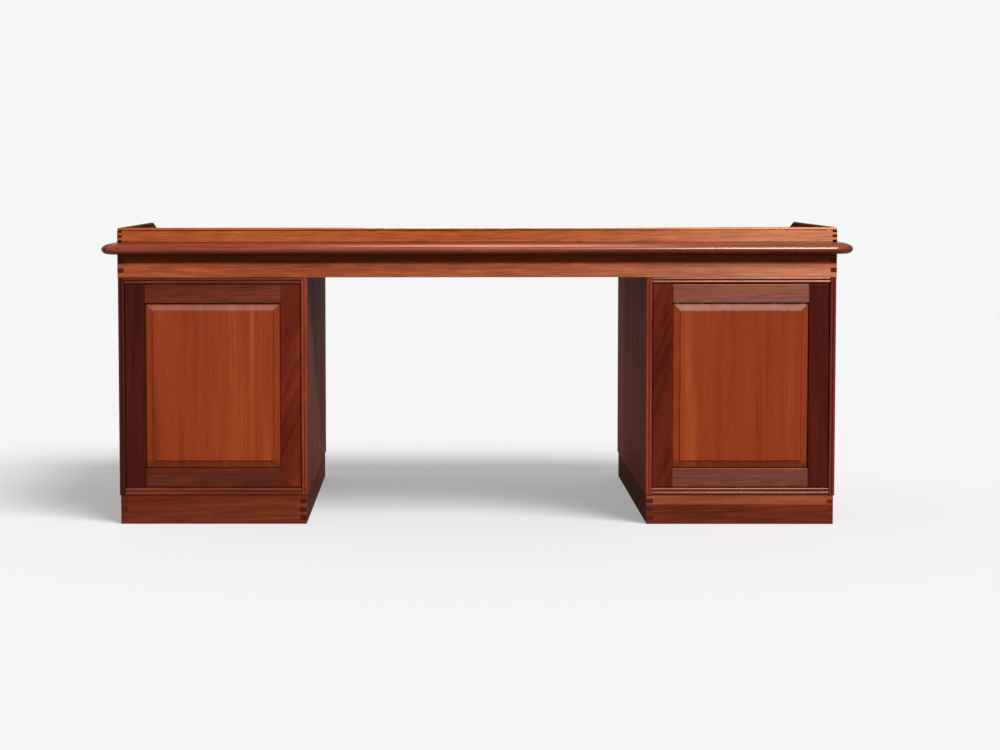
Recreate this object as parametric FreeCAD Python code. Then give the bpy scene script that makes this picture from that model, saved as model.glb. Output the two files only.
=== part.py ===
import FreeCAD
import Part
import math
import os
from FreeCAD import Vector

# A pedestal desk with panelled cupboard doors towards the visitor and drawers towards the user.
# +X runs along the desk, -Y faces the visitor, +Y faces the user and +Z is up.
# The origin is on the floor under the middle of the top. Sizes are in millimetres.
# Every piece of a pedestal is made for the right-hand one and mirrored for the left-hand one.

# Overall sizes
BODY_LENGTH = 1920.0
BODY_DEPTH = 920.0
PEDESTAL_WIDTH = 506.0
PLINTH_HEIGHT = 78.0
CASE_HEIGHT = 586.0
FRIEZE_HEIGHT = 62.0
TOP_THICKNESS = 31.0
GALLERY_HEIGHT = 40.0

# Thicknesses of the boards
PLINTH_BOARD = 17.0
CASE_SIDE = 16.0
CASE_TOP = 17.0
CASE_BOTTOM = 20.0
DIVIDER_BOARD = 12.0
FRIEZE_BOARD = 16.0
GALLERY_BOARD = 12.0

# Setbacks from the piece above
CASE_SETBACK = 0.5
PLINTH_SETBACK = 3.0

# Finger joints, counted over the height of the board
PLINTH_FINGERS = 7
FRIEZE_FINGERS = 5
GALLERY_FINGERS = 6

# Moulded nosing round the top
NOSE_OVERHANG = 44.0
NOSE_TIP_DROP = 17.5
NOSE_UNDERCUT = 20.0

# Gallery on the top
GALLERY_QUIRK = 1.8
GALLERY_END_LENGTH = 790.0
GALLERY_RAMP_LENGTH = 140.0
GALLERY_TOE = 8.0

# Reeds worked on the front edges of the case boards
REED_COUNT = 2
REED_RISE = 2.5

# Cross bearers and the loose tenons that locate the top unit on the pedestals
BEARER_WIDTH = 30.0
LOOSE_TENON_LENGTH = 60.0
LOOSE_TENON_THICKNESS = 10.0
LOOSE_TENON_DEPTH = 12.0
LOOSE_TENON_FROM_MIDDLE = 300.0

# Panelled doors
DOOR_GAP = 2.0
DOOR_SETBACK = 3.0
DOOR_THICKNESS = 22.0
STILE_WIDTH = 53.0
RAIL_WIDTH = 50.0
TENON_LENGTH = 30.0
TENON_THICKNESS = 8.0
TENON_SHOULDER = 12.0
TONGUE_THICKNESS = 6.0
TONGUE_DEPTH = 8.0
TONGUE_FROM_FACE = 9.0
PANEL_SETBACK = 1.0
FIELD_STEP = 3.0
BEVEL_WIDTH = 21.0

# Pivots of the doors
PIVOT_FROM_EDGE = 14.0
PIVOT_FROM_FACE = 7.0
PIN_RADIUS = 3.0
PIN_IN_STILE = 20.0
PIN_IN_CASE = 11.0
COLLAR_RADIUS = 6.0

# Touch latches of the doors
LATCH_WIDTH = 22.0
LATCH_LENGTH = 60.0
LATCH_HEIGHT = 24.0
LATCH_BEHIND_DOOR = 6.0
PLUNGER_BELOW_BOARD = 14.0
PLUNGER_RADIUS = 4.0
PLUNGER_LENGTH = 48.0
PLUNGER_ROOM = 5.0
STRIKE_RADIUS = 8.0
STRIKE_THICKNESS = 1.2

# Cupboard and shelf
CUPBOARD_DEPTH = 300.0
SHELF_BOARD = 16.0
SHELF_DEPTH = 270.0
SHELF_HEIGHT = 270.0
CLEAT_WIDTH = 15.0
CLEAT_HEIGHT = 20.0
CLEAT_FROM_SHELF_EDGE = 20.0

# Drawers
DRAWER_FRONT = 20.0
DRAWER_GAP = 3.0
TOP_DRAWER_HEIGHT = 128.0
MIDDLE_DRAWER_HEIGHT = 176.0
DRAWER_SIDE = 14.0
DRAWER_BACK = 12.0
DRAWER_BOTTOM = 6.0
DRAWER_BOTTOM_TONGUE = 6.0
DRAWER_BOTTOM_LIFT = 8.0
SIDE_ABOVE_FRONT_FOOT = 6.0
SIDE_BELOW_FRONT_TOP = 24.0
DRAWER_BEHIND_ROOM = 5.0
RUNNER_REACH = 10.0
RUNNER_HEIGHT = 14.0
GRIP_WIDTH = 130.0
GRIP_DEPTH = 20.0
DOVETAIL_PITCH = 50.0
DOVETAIL_LENGTH = 12.0
DOVETAIL_FLARE = 2.0
DOVETAIL_SHARE = 0.68

# Clearances
GLUE_FIT = 0.05
RUNNING_FIT = 0.08
SEAT_GAP = 0.2
SLIDE_GAP = 0.3
SIDE_GAP = 1.5
SHELF_GAP = 1.0
JOINT_ROOM = 1.0

# Levels above the floor
CASE_LEVEL = PLINTH_HEIGHT
FRIEZE_LEVEL = CASE_LEVEL + CASE_HEIGHT
TOP_UNDERSIDE = FRIEZE_LEVEL + FRIEZE_HEIGHT
TOP_FACE = TOP_UNDERSIDE + TOP_THICKNESS
OPENING_BOTTOM = CASE_LEVEL + CASE_BOTTOM
OPENING_TOP = FRIEZE_LEVEL - CASE_TOP

# Faces of the body and of the right-hand pedestal
BODY_END = BODY_LENGTH / 2
BODY_FACE = BODY_DEPTH / 2
CASE_OUTER = BODY_END - CASE_SETBACK
CASE_INNER = CASE_OUTER - PEDESTAL_WIDTH
CASE_FACE = BODY_FACE - CASE_SETBACK
OPENING_OUTER = CASE_OUTER - CASE_SIDE
OPENING_INNER = CASE_INNER + CASE_SIDE
FRONT_OUTER = OPENING_OUTER - DOOR_GAP
FRONT_INNER = OPENING_INNER + DOOR_GAP

# Planes of the door, the divider and the drawers, from the visitor side to the user side
DOOR_FACE = -CASE_FACE + DOOR_SETBACK
DOOR_BACK = DOOR_FACE + DOOR_THICKNESS
DOOR_BOTTOM = OPENING_BOTTOM + DOOR_GAP
DOOR_TOP = OPENING_TOP - DOOR_GAP
DIVIDER_FACE = DOOR_BACK + CUPBOARD_DEPTH
DIVIDER_BACK = DIVIDER_FACE + DIVIDER_BOARD
DRAWER_FACE = CASE_FACE - DOOR_SETBACK
DRAWER_FRONT_BACK = DRAWER_FACE - DRAWER_FRONT
DRAWER_END = DIVIDER_BACK + DRAWER_BEHIND_ROOM

# Faces of the drawer sides, from the kneehole outward
INNER_SIDE_FACE = OPENING_INNER + SIDE_GAP
INNER_SIDE_WALL = INNER_SIDE_FACE + DRAWER_SIDE
OUTER_SIDE_FACE = OPENING_OUTER - SIDE_GAP
OUTER_SIDE_WALL = OUTER_SIDE_FACE - DRAWER_SIDE

# The touch latch stands behind the middle of the opening stile
LATCH_MIDDLE = FRONT_INNER + STILE_WIDTH / 2
PLUNGER_LEVEL = OPENING_TOP - PLUNGER_BELOW_BOARD

UP = Vector(0, 0, 1)
ALONG = Vector(1, 0, 0)
BACKWARD = Vector(0, 1, 0)
QUARTER_TURN = 90.0


# Helpers

def block(x0, x1, y0, y1, z0, z1):
    """A square-edged piece between three pairs of faces."""
    return Part.makeBox(x1 - x0, y1 - y0, z1 - z0, Vector(x0, y0, z0))


def fused(first, *others):
    """One solid from pieces that meet."""
    return first.fuse(others).removeSplitter().Solids[0]


def cut(shape, *tools):
    """The solid that is left when the tools are taken away."""
    return shape.cut(tools).removeSplitter().Solids[0]


def group(solids):
    """Separate solids that share one node."""
    return Part.makeCompound(list(solids))


def mirrored(shape):
    """The same piece on the left-hand pedestal."""
    return shape.mirror(Vector(0, 0, 0), ALONG)


def finger_slices(x_pair, y_pair, z_pair, count):
    """A corner post sliced from the top into fingers: those of the board along X, then those along Y."""
    pitch = (z_pair[1] - z_pair[0]) / count
    levels = [z_pair[1] - pitch * index for index in range(count + 1)]
    slices = [block(*x_pair, *y_pair, low, high) for high, low in zip(levels, levels[1:])]
    return slices[0::2], slices[1::2]


def jointed_frame(x_pair, y_pair, z_pair, board, fingers):
    """Four finger-jointed boards: visitor side, user side, low X end and high X end."""
    x0, x1 = x_pair
    y0, y1 = y_pair
    ends = ((x0, x0 + board), (x1 - board, x1))
    faces = ((y0, y0 + board), (y1 - board, y1))
    corners = [[finger_slices(end, face, z_pair, fingers) for end in ends] for face in faces]
    long_boards = []
    for face, row in zip(faces, corners):
        tools = row[0][1] + row[1][1]
        long_boards.append(cut(block(*x_pair, *face, *z_pair), *tools))
    end_boards = []
    for index, end in enumerate(ends):
        tools = corners[0][index][0] + corners[1][index][0]
        end_boards.append(cut(block(*end, *y_pair, *z_pair), *tools))
    return long_boards + end_boards


def reeds(start, stop, outward):
    """Edges of a row of reeds from one arris to the other, rising outward."""
    step = (stop - start) / REED_COUNT
    edges = []
    for index in range(REED_COUNT):
        near = start + step * index
        far = near + step
        crest = (near + far) / 2 + outward * REED_RISE
        edges.append(Part.Arc(near, crest, far).toShape())
    return edges


def reeded_board(corner, across, length):
    """A case board with reeds on its visitor and user edges.

    The corner is the low end of the visitor arris, across spans the thickness and length the extrusion.
    """
    through = BACKWARD * (2 * CASE_FACE - 2 * REED_RISE)
    near = reeds(corner, corner + across, -BACKWARD)
    far = reeds(corner + across + through, corner + through, BACKWARD)
    right = Part.makeLine(corner + across, corner + across + through)
    left = Part.makeLine(corner + through, corner)
    outline = Part.Wire(near + [right] + far + [left])
    return Part.Face(outline).extrude(length)


# Top unit

def nosing_section():
    """Section of the nosing at x = 0, its joint on the Z axis and its nose towards -Y."""
    width = NOSE_OVERHANG + GALLERY_BOARD
    tip = Vector(0, -width, -NOSE_TIP_DROP)
    crown_end = Vector(0, -GALLERY_BOARD, 0)
    foot = Vector(0, -width + NOSE_UNDERCUT, -TOP_THICKNESS)
    crown = Part.Ellipse(tip, crown_end, Vector(0, -GALLERY_BOARD, -NOSE_TIP_DROP))
    belly = Part.Ellipse(tip, foot, Vector(0, -width + NOSE_UNDERCUT, -NOSE_TIP_DROP))
    quarter = math.pi / 2
    joint_bottom = Vector(0, 0, -TOP_THICKNESS)
    edges = [
        Part.makeLine(Vector(0, 0, 0), crown_end),
        Part.ArcOfEllipse(crown, 0, quarter).toShape(),
        Part.ArcOfEllipse(belly, 0, quarter).toShape(),
        Part.makeLine(foot, joint_bottom),
        Part.makeLine(joint_bottom, Vector(0, 0, 0)),
    ]
    return Part.Face(Part.Wire(Part.__sortEdges__(edges)))


def nosing(joint_length, turn, joint_place):
    """A nosing strip with mitred ends that are rounded in plan, turned to its side of the top."""
    section = nosing_section()
    low_end = Vector(-joint_length / 2, 0, 0)
    high_end = Vector(joint_length / 2, 0, 0)
    low_section = section.translated(low_end)
    high_section = section.translated(high_end)
    strip = fused(
        low_section.extrude(high_end - low_end),
        low_section.revolve(low_end, UP, -QUARTER_TURN / 2),
        high_section.revolve(high_end, UP, QUARTER_TURN / 2),
    )
    strip.rotate(Vector(0, 0, 0), UP, turn)
    strip.translate(joint_place)
    return strip


def top_pieces():
    """The writing panel and the four nosing strips."""
    panel_end = BODY_END - GALLERY_BOARD
    panel_face = BODY_FACE - GALLERY_BOARD
    panel = block(-panel_end, panel_end, -panel_face, panel_face, TOP_UNDERSIDE, TOP_FACE)
    length = 2 * panel_end
    depth = 2 * panel_face
    return {
        "top_panel": panel,
        "nosing_visitor": nosing(length, 0, Vector(0, -panel_face, TOP_FACE)),
        "nosing_user": nosing(length, 2 * QUARTER_TURN, Vector(0, panel_face, TOP_FACE)),
        "nosing_left": nosing(depth, -QUARTER_TURN, Vector(-panel_end, 0, TOP_FACE)),
        "nosing_right": nosing(depth, QUARTER_TURN, Vector(panel_end, 0, TOP_FACE)),
    }


def gallery_section(origin, across):
    """Upright section of a gallery board: flat faces, a quirk on each and a round bead on top."""
    bead = GALLERY_BOARD / 2
    bead_foot = GALLERY_HEIGHT - bead
    thickness = across * GALLERY_BOARD
    quirk = across * GALLERY_QUIRK
    quirk_foot = UP * (bead_foot - 2 * GALLERY_QUIRK)
    quirk_root = UP * (bead_foot - GALLERY_QUIRK)
    outer = [origin, origin + quirk_foot, origin + quirk + quirk_root, origin + UP * bead_foot]
    far = origin + thickness
    inner = [far + UP * bead_foot, far - quirk + quirk_root, far + quirk_foot, far]
    crest = origin + thickness / 2 + UP * GALLERY_HEIGHT
    edges = [Part.makeLine(a, b) for a, b in zip(outer, outer[1:])]
    edges.append(Part.Arc(outer[-1], crest, inner[0]).toShape())
    edges += [Part.makeLine(a, b) for a, b in zip(inner, inner[1:])]
    edges.append(Part.makeLine(far, origin))
    return Part.Face(Part.Wire(edges))


def gallery_end():
    """The right-hand end board of the gallery, with its ramp down to the toe."""
    level_length = GALLERY_END_LENGTH - GALLERY_RAMP_LENGTH
    start = Vector(BODY_END - GALLERY_BOARD, -BODY_FACE, TOP_FACE)
    ramp_start = start + BACKWARD * level_length
    slope = BACKWARD * GALLERY_RAMP_LENGTH - UP * (GALLERY_HEIGHT - GALLERY_TOE)
    level_run = gallery_section(start, ALONG).extrude(ramp_start - start)
    ramp = gallery_section(ramp_start, ALONG).extrude(slope)
    over_the_top = block(-BODY_END, BODY_END, -BODY_FACE, BODY_FACE, TOP_FACE, TOP_FACE + GALLERY_HEIGHT)
    return fused(level_run, ramp.common(over_the_top))


def bead_corner():
    """What the bead adds to and takes from the right-hand visitor corner where it runs round it."""
    half = GALLERY_BOARD / 2
    corner = Vector(BODY_END - GALLERY_BOARD, -BODY_FACE, TOP_FACE)
    levels = (TOP_FACE, TOP_FACE + GALLERY_HEIGHT)
    middle_x = BODY_END - half
    middle_y = -BODY_FACE + half
    along_end = gallery_section(corner, ALONG).extrude(BACKWARD * GALLERY_BOARD)
    along_face = gallery_section(corner, BACKWARD).extrude(ALONG * GALLERY_BOARD)
    behind = block(corner.x, BODY_END, middle_y, middle_y + half, *levels)
    outside = block(middle_x, BODY_END, corner.y, middle_y + half, *levels)
    in_front = block(corner.x, BODY_END, corner.y, middle_y, *levels)
    added = along_end.common(behind)
    waste = outside.cut(along_end).Solids + in_front.cut(along_face).Solids
    return added, waste


def gallery_pieces():
    """The three gallery boards, finger-jointed at the visitor corners."""
    start = Vector(-BODY_END, -BODY_FACE, TOP_FACE)
    added, waste = bead_corner()
    straight = gallery_section(start, BACKWARD).extrude(ALONG * BODY_LENGTH)
    long_board = fused(straight, added, mirrored(added))
    levels = (TOP_FACE, TOP_FACE + GALLERY_HEIGHT)
    face = (-BODY_FACE, -BODY_FACE + GALLERY_BOARD)
    corner = (BODY_END - GALLERY_BOARD, BODY_END)
    long_fingers, end_fingers = finger_slices(corner, face, levels, GALLERY_FINGERS)
    corner_tools = waste + end_fingers
    left_tools = [mirrored(tool) for tool in corner_tools]
    end_board = cut(gallery_end(), *waste, *long_fingers)
    return {
        "gallery_visitor": cut(long_board, *corner_tools, *left_tools),
        "gallery_right": end_board,
        "gallery_left": mirrored(end_board),
    }


def frieze_pieces():
    """The four finger-jointed boards under the top."""
    boards = jointed_frame(
        (-BODY_END, BODY_END),
        (-BODY_FACE, BODY_FACE),
        (FRIEZE_LEVEL, TOP_UNDERSIDE),
        FRIEZE_BOARD,
        FRIEZE_FINGERS,
    )
    names = ("frieze_visitor", "frieze_user", "frieze_left", "frieze_right")
    return dict(zip(names, boards))


def bearer_spans():
    """Low and high X of the two cross bearers over the right-hand pedestal."""
    outer_face = BODY_END - FRIEZE_BOARD
    return (outer_face - BEARER_WIDTH, outer_face), (OPENING_INNER, OPENING_INNER + BEARER_WIDTH)


def loose_tenons(extra_depth, side_room):
    """Loose tenons of the right-hand pedestal, half in the case top and half in the bearers."""
    depth = LOOSE_TENON_DEPTH + extra_depth
    half_thickness = LOOSE_TENON_THICKNESS / 2 + side_room
    half_length = LOOSE_TENON_LENGTH / 2 + side_room
    tenons_in_place = []
    for low, high in bearer_spans():
        x = (low + high) / 2
        for y in (-LOOSE_TENON_FROM_MIDDLE, LOOSE_TENON_FROM_MIDDLE):
            tenons_in_place.append(block(
                x - half_thickness,
                x + half_thickness,
                y - half_length,
                y + half_length,
                FRIEZE_LEVEL - depth,
                FRIEZE_LEVEL + depth,
            ))
    return tenons_in_place


def bearer_pieces():
    """The cross bearers inside the frieze and the loose tenons under them."""
    inside = BODY_FACE - FRIEZE_BOARD
    mortises = loose_tenons(JOINT_ROOM, GLUE_FIT)
    bearers = []
    for low, high in bearer_spans():
        beam = block(low, high, -inside, inside, FRIEZE_LEVEL, TOP_UNDERSIDE)
        bearers.append(cut(beam, *mortises))
    keys = loose_tenons(0, 0)
    return {
        "cross_bearers": group(bearers + [mirrored(beam) for beam in bearers]),
        "locating_tenons": group(keys + [mirrored(key) for key in keys]),
    }


# Pedestal cases

def plinth_pieces():
    """The four finger-jointed boards of the right-hand plinth."""
    face = CASE_FACE - PLINTH_SETBACK
    visitor, user, inner, outer = jointed_frame(
        (CASE_INNER + PLINTH_SETBACK, CASE_OUTER - PLINTH_SETBACK),
        (-face, face),
        (0, PLINTH_HEIGHT),
        PLINTH_BOARD,
        PLINTH_FINGERS,
    )
    return {"visitor": visitor, "user": user, "inner": inner, "outer": outer}


def pivot_point(level):
    """A point on the pivot line of the right-hand door."""
    return Vector(FRONT_OUTER - PIVOT_FROM_EDGE, DOOR_FACE + PIVOT_FROM_FACE, level)


def pivot_bore(mouth, direction):
    """Blind bore in a case board for the end of a pivot pin."""
    return Part.makeCylinder(PIN_RADIUS + RUNNING_FIT, PIN_IN_CASE + JOINT_ROOM, pivot_point(mouth), direction)


def case_pieces():
    """Sides, top, bottom and divider of the right-hand pedestal."""
    arris = -CASE_FACE + REED_RISE
    thickness = ALONG * CASE_SIDE
    height = UP * CASE_HEIGHT
    inner_side = reeded_board(Vector(CASE_INNER, arris, CASE_LEVEL), thickness, height)
    outer_side = reeded_board(Vector(OPENING_OUTER, arris, CASE_LEVEL), thickness, height)
    span = ALONG * (OPENING_OUTER - OPENING_INNER)
    bottom = reeded_board(Vector(OPENING_INNER, arris, CASE_LEVEL), UP * CASE_BOTTOM, span)
    top = reeded_board(Vector(OPENING_INNER, arris, OPENING_TOP), UP * CASE_TOP, span)
    divider = block(OPENING_INNER, OPENING_OUTER, DIVIDER_FACE, DIVIDER_BACK, OPENING_BOTTOM, OPENING_TOP)
    return {
        "inner_side": inner_side,
        "outer_side": outer_side,
        "bottom_board": cut(bottom, pivot_bore(OPENING_BOTTOM, -UP)),
        "top_board": cut(top, pivot_bore(OPENING_TOP, UP), *loose_tenons(JOINT_ROOM, GLUE_FIT)),
        "divider": divider,
    }


def shelf_pieces():
    """The cupboard shelf of the right-hand pedestal and the two cleats that carry it."""
    underside = OPENING_BOTTOM + SHELF_HEIGHT
    shelf_front = DIVIDER_FACE - SHELF_DEPTH
    shelf = block(
        OPENING_INNER + SHELF_GAP,
        OPENING_OUTER - SHELF_GAP,
        shelf_front,
        DIVIDER_FACE,
        underside,
        underside + SHELF_BOARD,
    )
    run = (shelf_front + CLEAT_FROM_SHELF_EDGE, DIVIDER_FACE)
    levels = (underside - CLEAT_HEIGHT, underside)
    cleats = [
        block(OPENING_INNER, OPENING_INNER + CLEAT_WIDTH, *run, *levels),
        block(OPENING_OUTER - CLEAT_WIDTH, OPENING_OUTER, *run, *levels),
    ]
    return shelf, cleats


# Doors

def sight_opening():
    """Low and high X, then low and high Z, of the opening inside the door frame."""
    return (
        (FRONT_INNER + STILE_WIDTH, FRONT_OUTER - STILE_WIDTH),
        (DOOR_BOTTOM + RAIL_WIDTH, DOOR_TOP - RAIL_WIDTH),
    )


def panel_space(depth, side_room):
    """Block round the sight opening that the tongue of the panel fills, with room on its two faces."""
    (x0, x1), (z0, z1) = sight_opening()
    front = DOOR_FACE + TONGUE_FROM_FACE
    back = front + TONGUE_THICKNESS
    return block(x0 - depth, x1 + depth, front - side_room, back + side_room, z0 - depth, z1 + depth)


def tenons(low_level, extra_length, side_room):
    """The two tenons of the rail whose lower edge is at low_level."""
    x0, x1 = sight_opening()[0]
    middle = DOOR_FACE + TONGUE_FROM_FACE + TONGUE_THICKNESS / 2
    half = TENON_THICKNESS / 2 + side_room
    low = low_level + TENON_SHOULDER - side_room
    high = low_level + RAIL_WIDTH - TENON_SHOULDER + side_room
    length = TENON_LENGTH + extra_length
    return [
        block(x0 - length, x0, middle - half, middle + half, low, high),
        block(x1, x1 + length, middle - half, middle + half, low, high),
    ]


def pivot_pins(radius, extra_depth):
    """Rods along the pivot line at the bottom and the top of the door."""
    in_stile = PIN_IN_STILE + extra_depth
    length = in_stile + DOOR_GAP + PIN_IN_CASE
    bottom = Part.makeCylinder(radius, length, pivot_point(DOOR_BOTTOM + in_stile), -UP)
    top = Part.makeCylinder(radius, length, pivot_point(DOOR_TOP - in_stile), UP)
    return [bottom, top]


def raised_panel():
    """Panel with a tongue all round, a bevel inside the frame and a raised field."""
    (x0, x1), (z0, z1) = sight_opening()
    bevel_foot = DOOR_FACE + TONGUE_FROM_FACE
    field_face = DOOR_FACE + PANEL_SETBACK
    bevel_top = field_face + FIELD_STEP

    def outline(inset, y):
        corners = [
            Vector(x0 + inset, y, z0 + inset),
            Vector(x1 - inset, y, z0 + inset),
            Vector(x1 - inset, y, z1 - inset),
            Vector(x0 + inset, y, z1 - inset),
        ]
        return Part.makePolygon(corners + corners[:1])

    bevel = Part.makeLoft([outline(0, bevel_foot), outline(BEVEL_WIDTH, bevel_top)], True, True)
    field = Part.Face(outline(BEVEL_WIDTH, field_face)).extrude(BACKWARD * FIELD_STEP)
    return fused(panel_space(TONGUE_DEPTH, 0), bevel, field)


def door_pieces():
    """Frame, panel and fittings of the right-hand door."""
    (x0, x1), (z0, z1) = sight_opening()
    groove = panel_space(TONGUE_DEPTH + JOINT_ROOM, SEAT_GAP)
    rail_levels = (DOOR_BOTTOM, z1)
    mortises = [tenon for level in rail_levels for tenon in tenons(level, JOINT_ROOM, GLUE_FIT)]
    pin_holes = pivot_pins(PIN_RADIUS + GLUE_FIT, JOINT_ROOM)
    depth = (DOOR_FACE, DOOR_BACK)
    height = (DOOR_BOTTOM, DOOR_TOP)
    hinge_stile = cut(block(x1, FRONT_OUTER, *depth, *height), groove, *mortises, *pin_holes)
    opening_stile = cut(block(FRONT_INNER, x0, *depth, *height), groove, *mortises)
    rails = []
    for level in rail_levels:
        bar = cut(block(x0, x1, *depth, level, level + RAIL_WIDTH), groove)
        rails.append(fused(bar, *tenons(level, 0, 0)))
    collar_level = OPENING_BOTTOM + SEAT_GAP
    collar_height = DOOR_BOTTOM - collar_level
    collar = cut(
        Part.makeCylinder(COLLAR_RADIUS, collar_height, pivot_point(collar_level), UP),
        Part.makeCylinder(PIN_RADIUS + GLUE_FIT, collar_height, pivot_point(collar_level), UP),
    )
    strike_place = Vector(LATCH_MIDDLE, DOOR_BACK, PLUNGER_LEVEL)
    strike = Part.makeCylinder(STRIKE_RADIUS, STRIKE_THICKNESS, strike_place, BACKWARD)
    return {
        "hinge_stile": hinge_stile,
        "opening_stile": opening_stile,
        "rails": group(rails),
        "panel": raised_panel(),
        "fittings": group(pivot_pins(PIN_RADIUS, 0) + [collar, strike]),
    }


def latch_pieces():
    """Case and plunger of the right-hand touch latch."""
    front = DOOR_BACK + LATCH_BEHIND_DOOR
    tip = DOOR_BACK + STRIKE_THICKNESS + SLIDE_GAP
    plunger = Part.makeCylinder(
        PLUNGER_RADIUS, PLUNGER_LENGTH, Vector(LATCH_MIDDLE, tip, PLUNGER_LEVEL), BACKWARD
    )
    bore_length = tip + PLUNGER_LENGTH + PLUNGER_ROOM - front
    bore = Part.makeCylinder(
        PLUNGER_RADIUS + RUNNING_FIT, bore_length, Vector(LATCH_MIDDLE, front, PLUNGER_LEVEL), BACKWARD
    )
    half = LATCH_WIDTH / 2
    case = block(
        LATCH_MIDDLE - half,
        LATCH_MIDDLE + half,
        front,
        front + LATCH_LENGTH,
        OPENING_TOP - LATCH_HEIGHT,
        OPENING_TOP,
    )
    return cut(case, bore), plunger


# Drawers

def drawer_spans():
    """Name and low and high Z of each drawer front, from the top down."""
    spans = []
    top = OPENING_TOP - DRAWER_GAP
    for name, height in (("top", TOP_DRAWER_HEIGHT), ("middle", MIDDLE_DRAWER_HEIGHT)):
        spans.append((name, top - height, top))
        top -= height + DRAWER_GAP
    spans.append(("bottom", OPENING_BOTTOM + DRAWER_GAP, top))
    return spans


def drawer_side_levels(low, high):
    """Low and high Z of the sides behind a drawer front."""
    return low + SIDE_ABOVE_FRONT_FOOT, high - SIDE_BELOW_FRONT_TOP


def runner_levels(low, high):
    """Low and high Z of the runners of a drawer, at the middle of its sides."""
    middle = sum(drawer_side_levels(low, high)) / 2
    return middle - RUNNER_HEIGHT / 2, middle + RUNNER_HEIGHT / 2


def drawer_runners(low, high):
    """The two runners of a drawer, from the divider to just behind its front."""
    levels = runner_levels(low, high)
    length = (DIVIDER_BACK, DRAWER_FRONT_BACK - SLIDE_GAP)
    return [
        block(OPENING_INNER, OPENING_INNER + RUNNER_REACH, *length, *levels),
        block(OPENING_OUTER - RUNNER_REACH, OPENING_OUTER, *length, *levels),
    ]


def dovetails(low, high, room):
    """Tails of the inner and of the outer drawer side, which lap into the front, with room round them."""
    side_low, side_high = drawer_side_levels(low, high)
    count = round((side_high - side_low) / DOVETAIL_PITCH)
    pitch = (side_high - side_low) / count
    half_tip = pitch * DOVETAIL_SHARE / 2 + room
    half_root = half_tip - DOVETAIL_FLARE
    root = DRAWER_FRONT_BACK
    tip = root + DOVETAIL_LENGTH + room
    spans = ((FRONT_INNER, INNER_SIDE_WALL + room), (OUTER_SIDE_WALL - room, FRONT_OUTER))
    tails_by_side = []
    for x0, x1 in spans:
        tails = []
        for index in range(count):
            middle = side_low + pitch * (index + 1 / 2)
            corners = [
                Vector(x0, root, middle - half_root),
                Vector(x0, tip, middle - half_tip),
                Vector(x0, tip, middle + half_tip),
                Vector(x0, root, middle + half_root),
            ]
            outline = Part.makePolygon(corners + corners[:1])
            tails.append(Part.Face(outline).extrude(ALONG * (x1 - x0)))
        tails_by_side.append(tails)
    return tails_by_side


def drawer_front(low, high):
    """Front board with a scooped grip in its top edge and sockets for the dovetails of the sides."""
    board = block(FRONT_INNER, FRONT_OUTER, DRAWER_FRONT_BACK, DRAWER_FACE, low, high)
    radius = (GRIP_WIDTH ** 2 / 4 + GRIP_DEPTH ** 2) / (2 * GRIP_DEPTH)
    middle = (FRONT_INNER + FRONT_OUTER) / 2
    centre = Vector(middle, DRAWER_FRONT_BACK, high - GRIP_DEPTH + radius)
    inner_sockets, outer_sockets = dovetails(low, high, GLUE_FIT)
    grip = Part.makeCylinder(radius, DRAWER_FRONT, centre, BACKWARD)
    return cut(board, grip, *inner_sockets, *outer_sockets)


def drawer_box(low, high):
    """Two grooved and dovetailed sides, a back and a bottom behind a drawer front."""
    side_low, side_high = drawer_side_levels(low, high)
    run_low, run_high = runner_levels(low, high)
    length = (DRAWER_END, DRAWER_FRONT_BACK)
    run_room = RUNNER_REACH + SLIDE_GAP
    run_grooves = (
        block(OPENING_INNER, OPENING_INNER + run_room, *length, run_low - SLIDE_GAP, run_high + SEAT_GAP),
        block(OPENING_OUTER - run_room, OPENING_OUTER, *length, run_low - SLIDE_GAP, run_high + SEAT_GAP),
    )
    floor_low = side_low + DRAWER_BOTTOM_LIFT
    floor_high = floor_low + DRAWER_BOTTOM
    tongue = DRAWER_BOTTOM_TONGUE
    floor = block(INNER_SIDE_WALL - tongue, OUTER_SIDE_WALL + tongue, *length, floor_low, floor_high)
    floor_groove = block(
        INNER_SIDE_WALL - tongue - SEAT_GAP,
        OUTER_SIDE_WALL + tongue + SEAT_GAP,
        *length,
        floor_low - GLUE_FIT,
        floor_high + GLUE_FIT,
    )
    levels = (side_low, side_high)
    inner_board = block(INNER_SIDE_FACE, INNER_SIDE_WALL, *length, *levels)
    outer_board = block(OUTER_SIDE_WALL, OUTER_SIDE_FACE, *length, *levels)
    inner_tails, outer_tails = dovetails(low, high, 0)
    inner_side = fused(cut(inner_board, run_grooves[0], floor_groove), *inner_tails)
    outer_side = fused(cut(outer_board, run_grooves[1], floor_groove), *outer_tails)
    back = block(
        INNER_SIDE_WALL, OUTER_SIDE_WALL, DRAWER_END, DRAWER_END + DRAWER_BACK, floor_high, side_high
    )
    return group([inner_side, outer_side, back, floor])


# Assembly

def on_both_sides(prefix, pieces):
    """Name the right-hand pieces and their mirrored twins."""
    named = {}
    for name, shape in pieces.items():
        named[f"{prefix}_right_{name}"] = shape
        named[f"{prefix}_left_{name}"] = mirrored(shape)
    return named


def fixed_groups():
    """Small repeated pieces fixed in the pedestals, one node for each kind."""
    shelf, cleats = shelf_pieces()
    runners = [runner for _, low, high in drawer_spans() for runner in drawer_runners(low, high)]
    latch_case = latch_pieces()[0]
    kinds = {
        "shelves": [shelf],
        "shelf_cleats": cleats,
        "drawer_runners": runners,
        "latch_cases": [latch_case],
    }
    return {name: group(solids + [mirrored(solid) for solid in solids]) for name, solids in kinds.items()}


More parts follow.
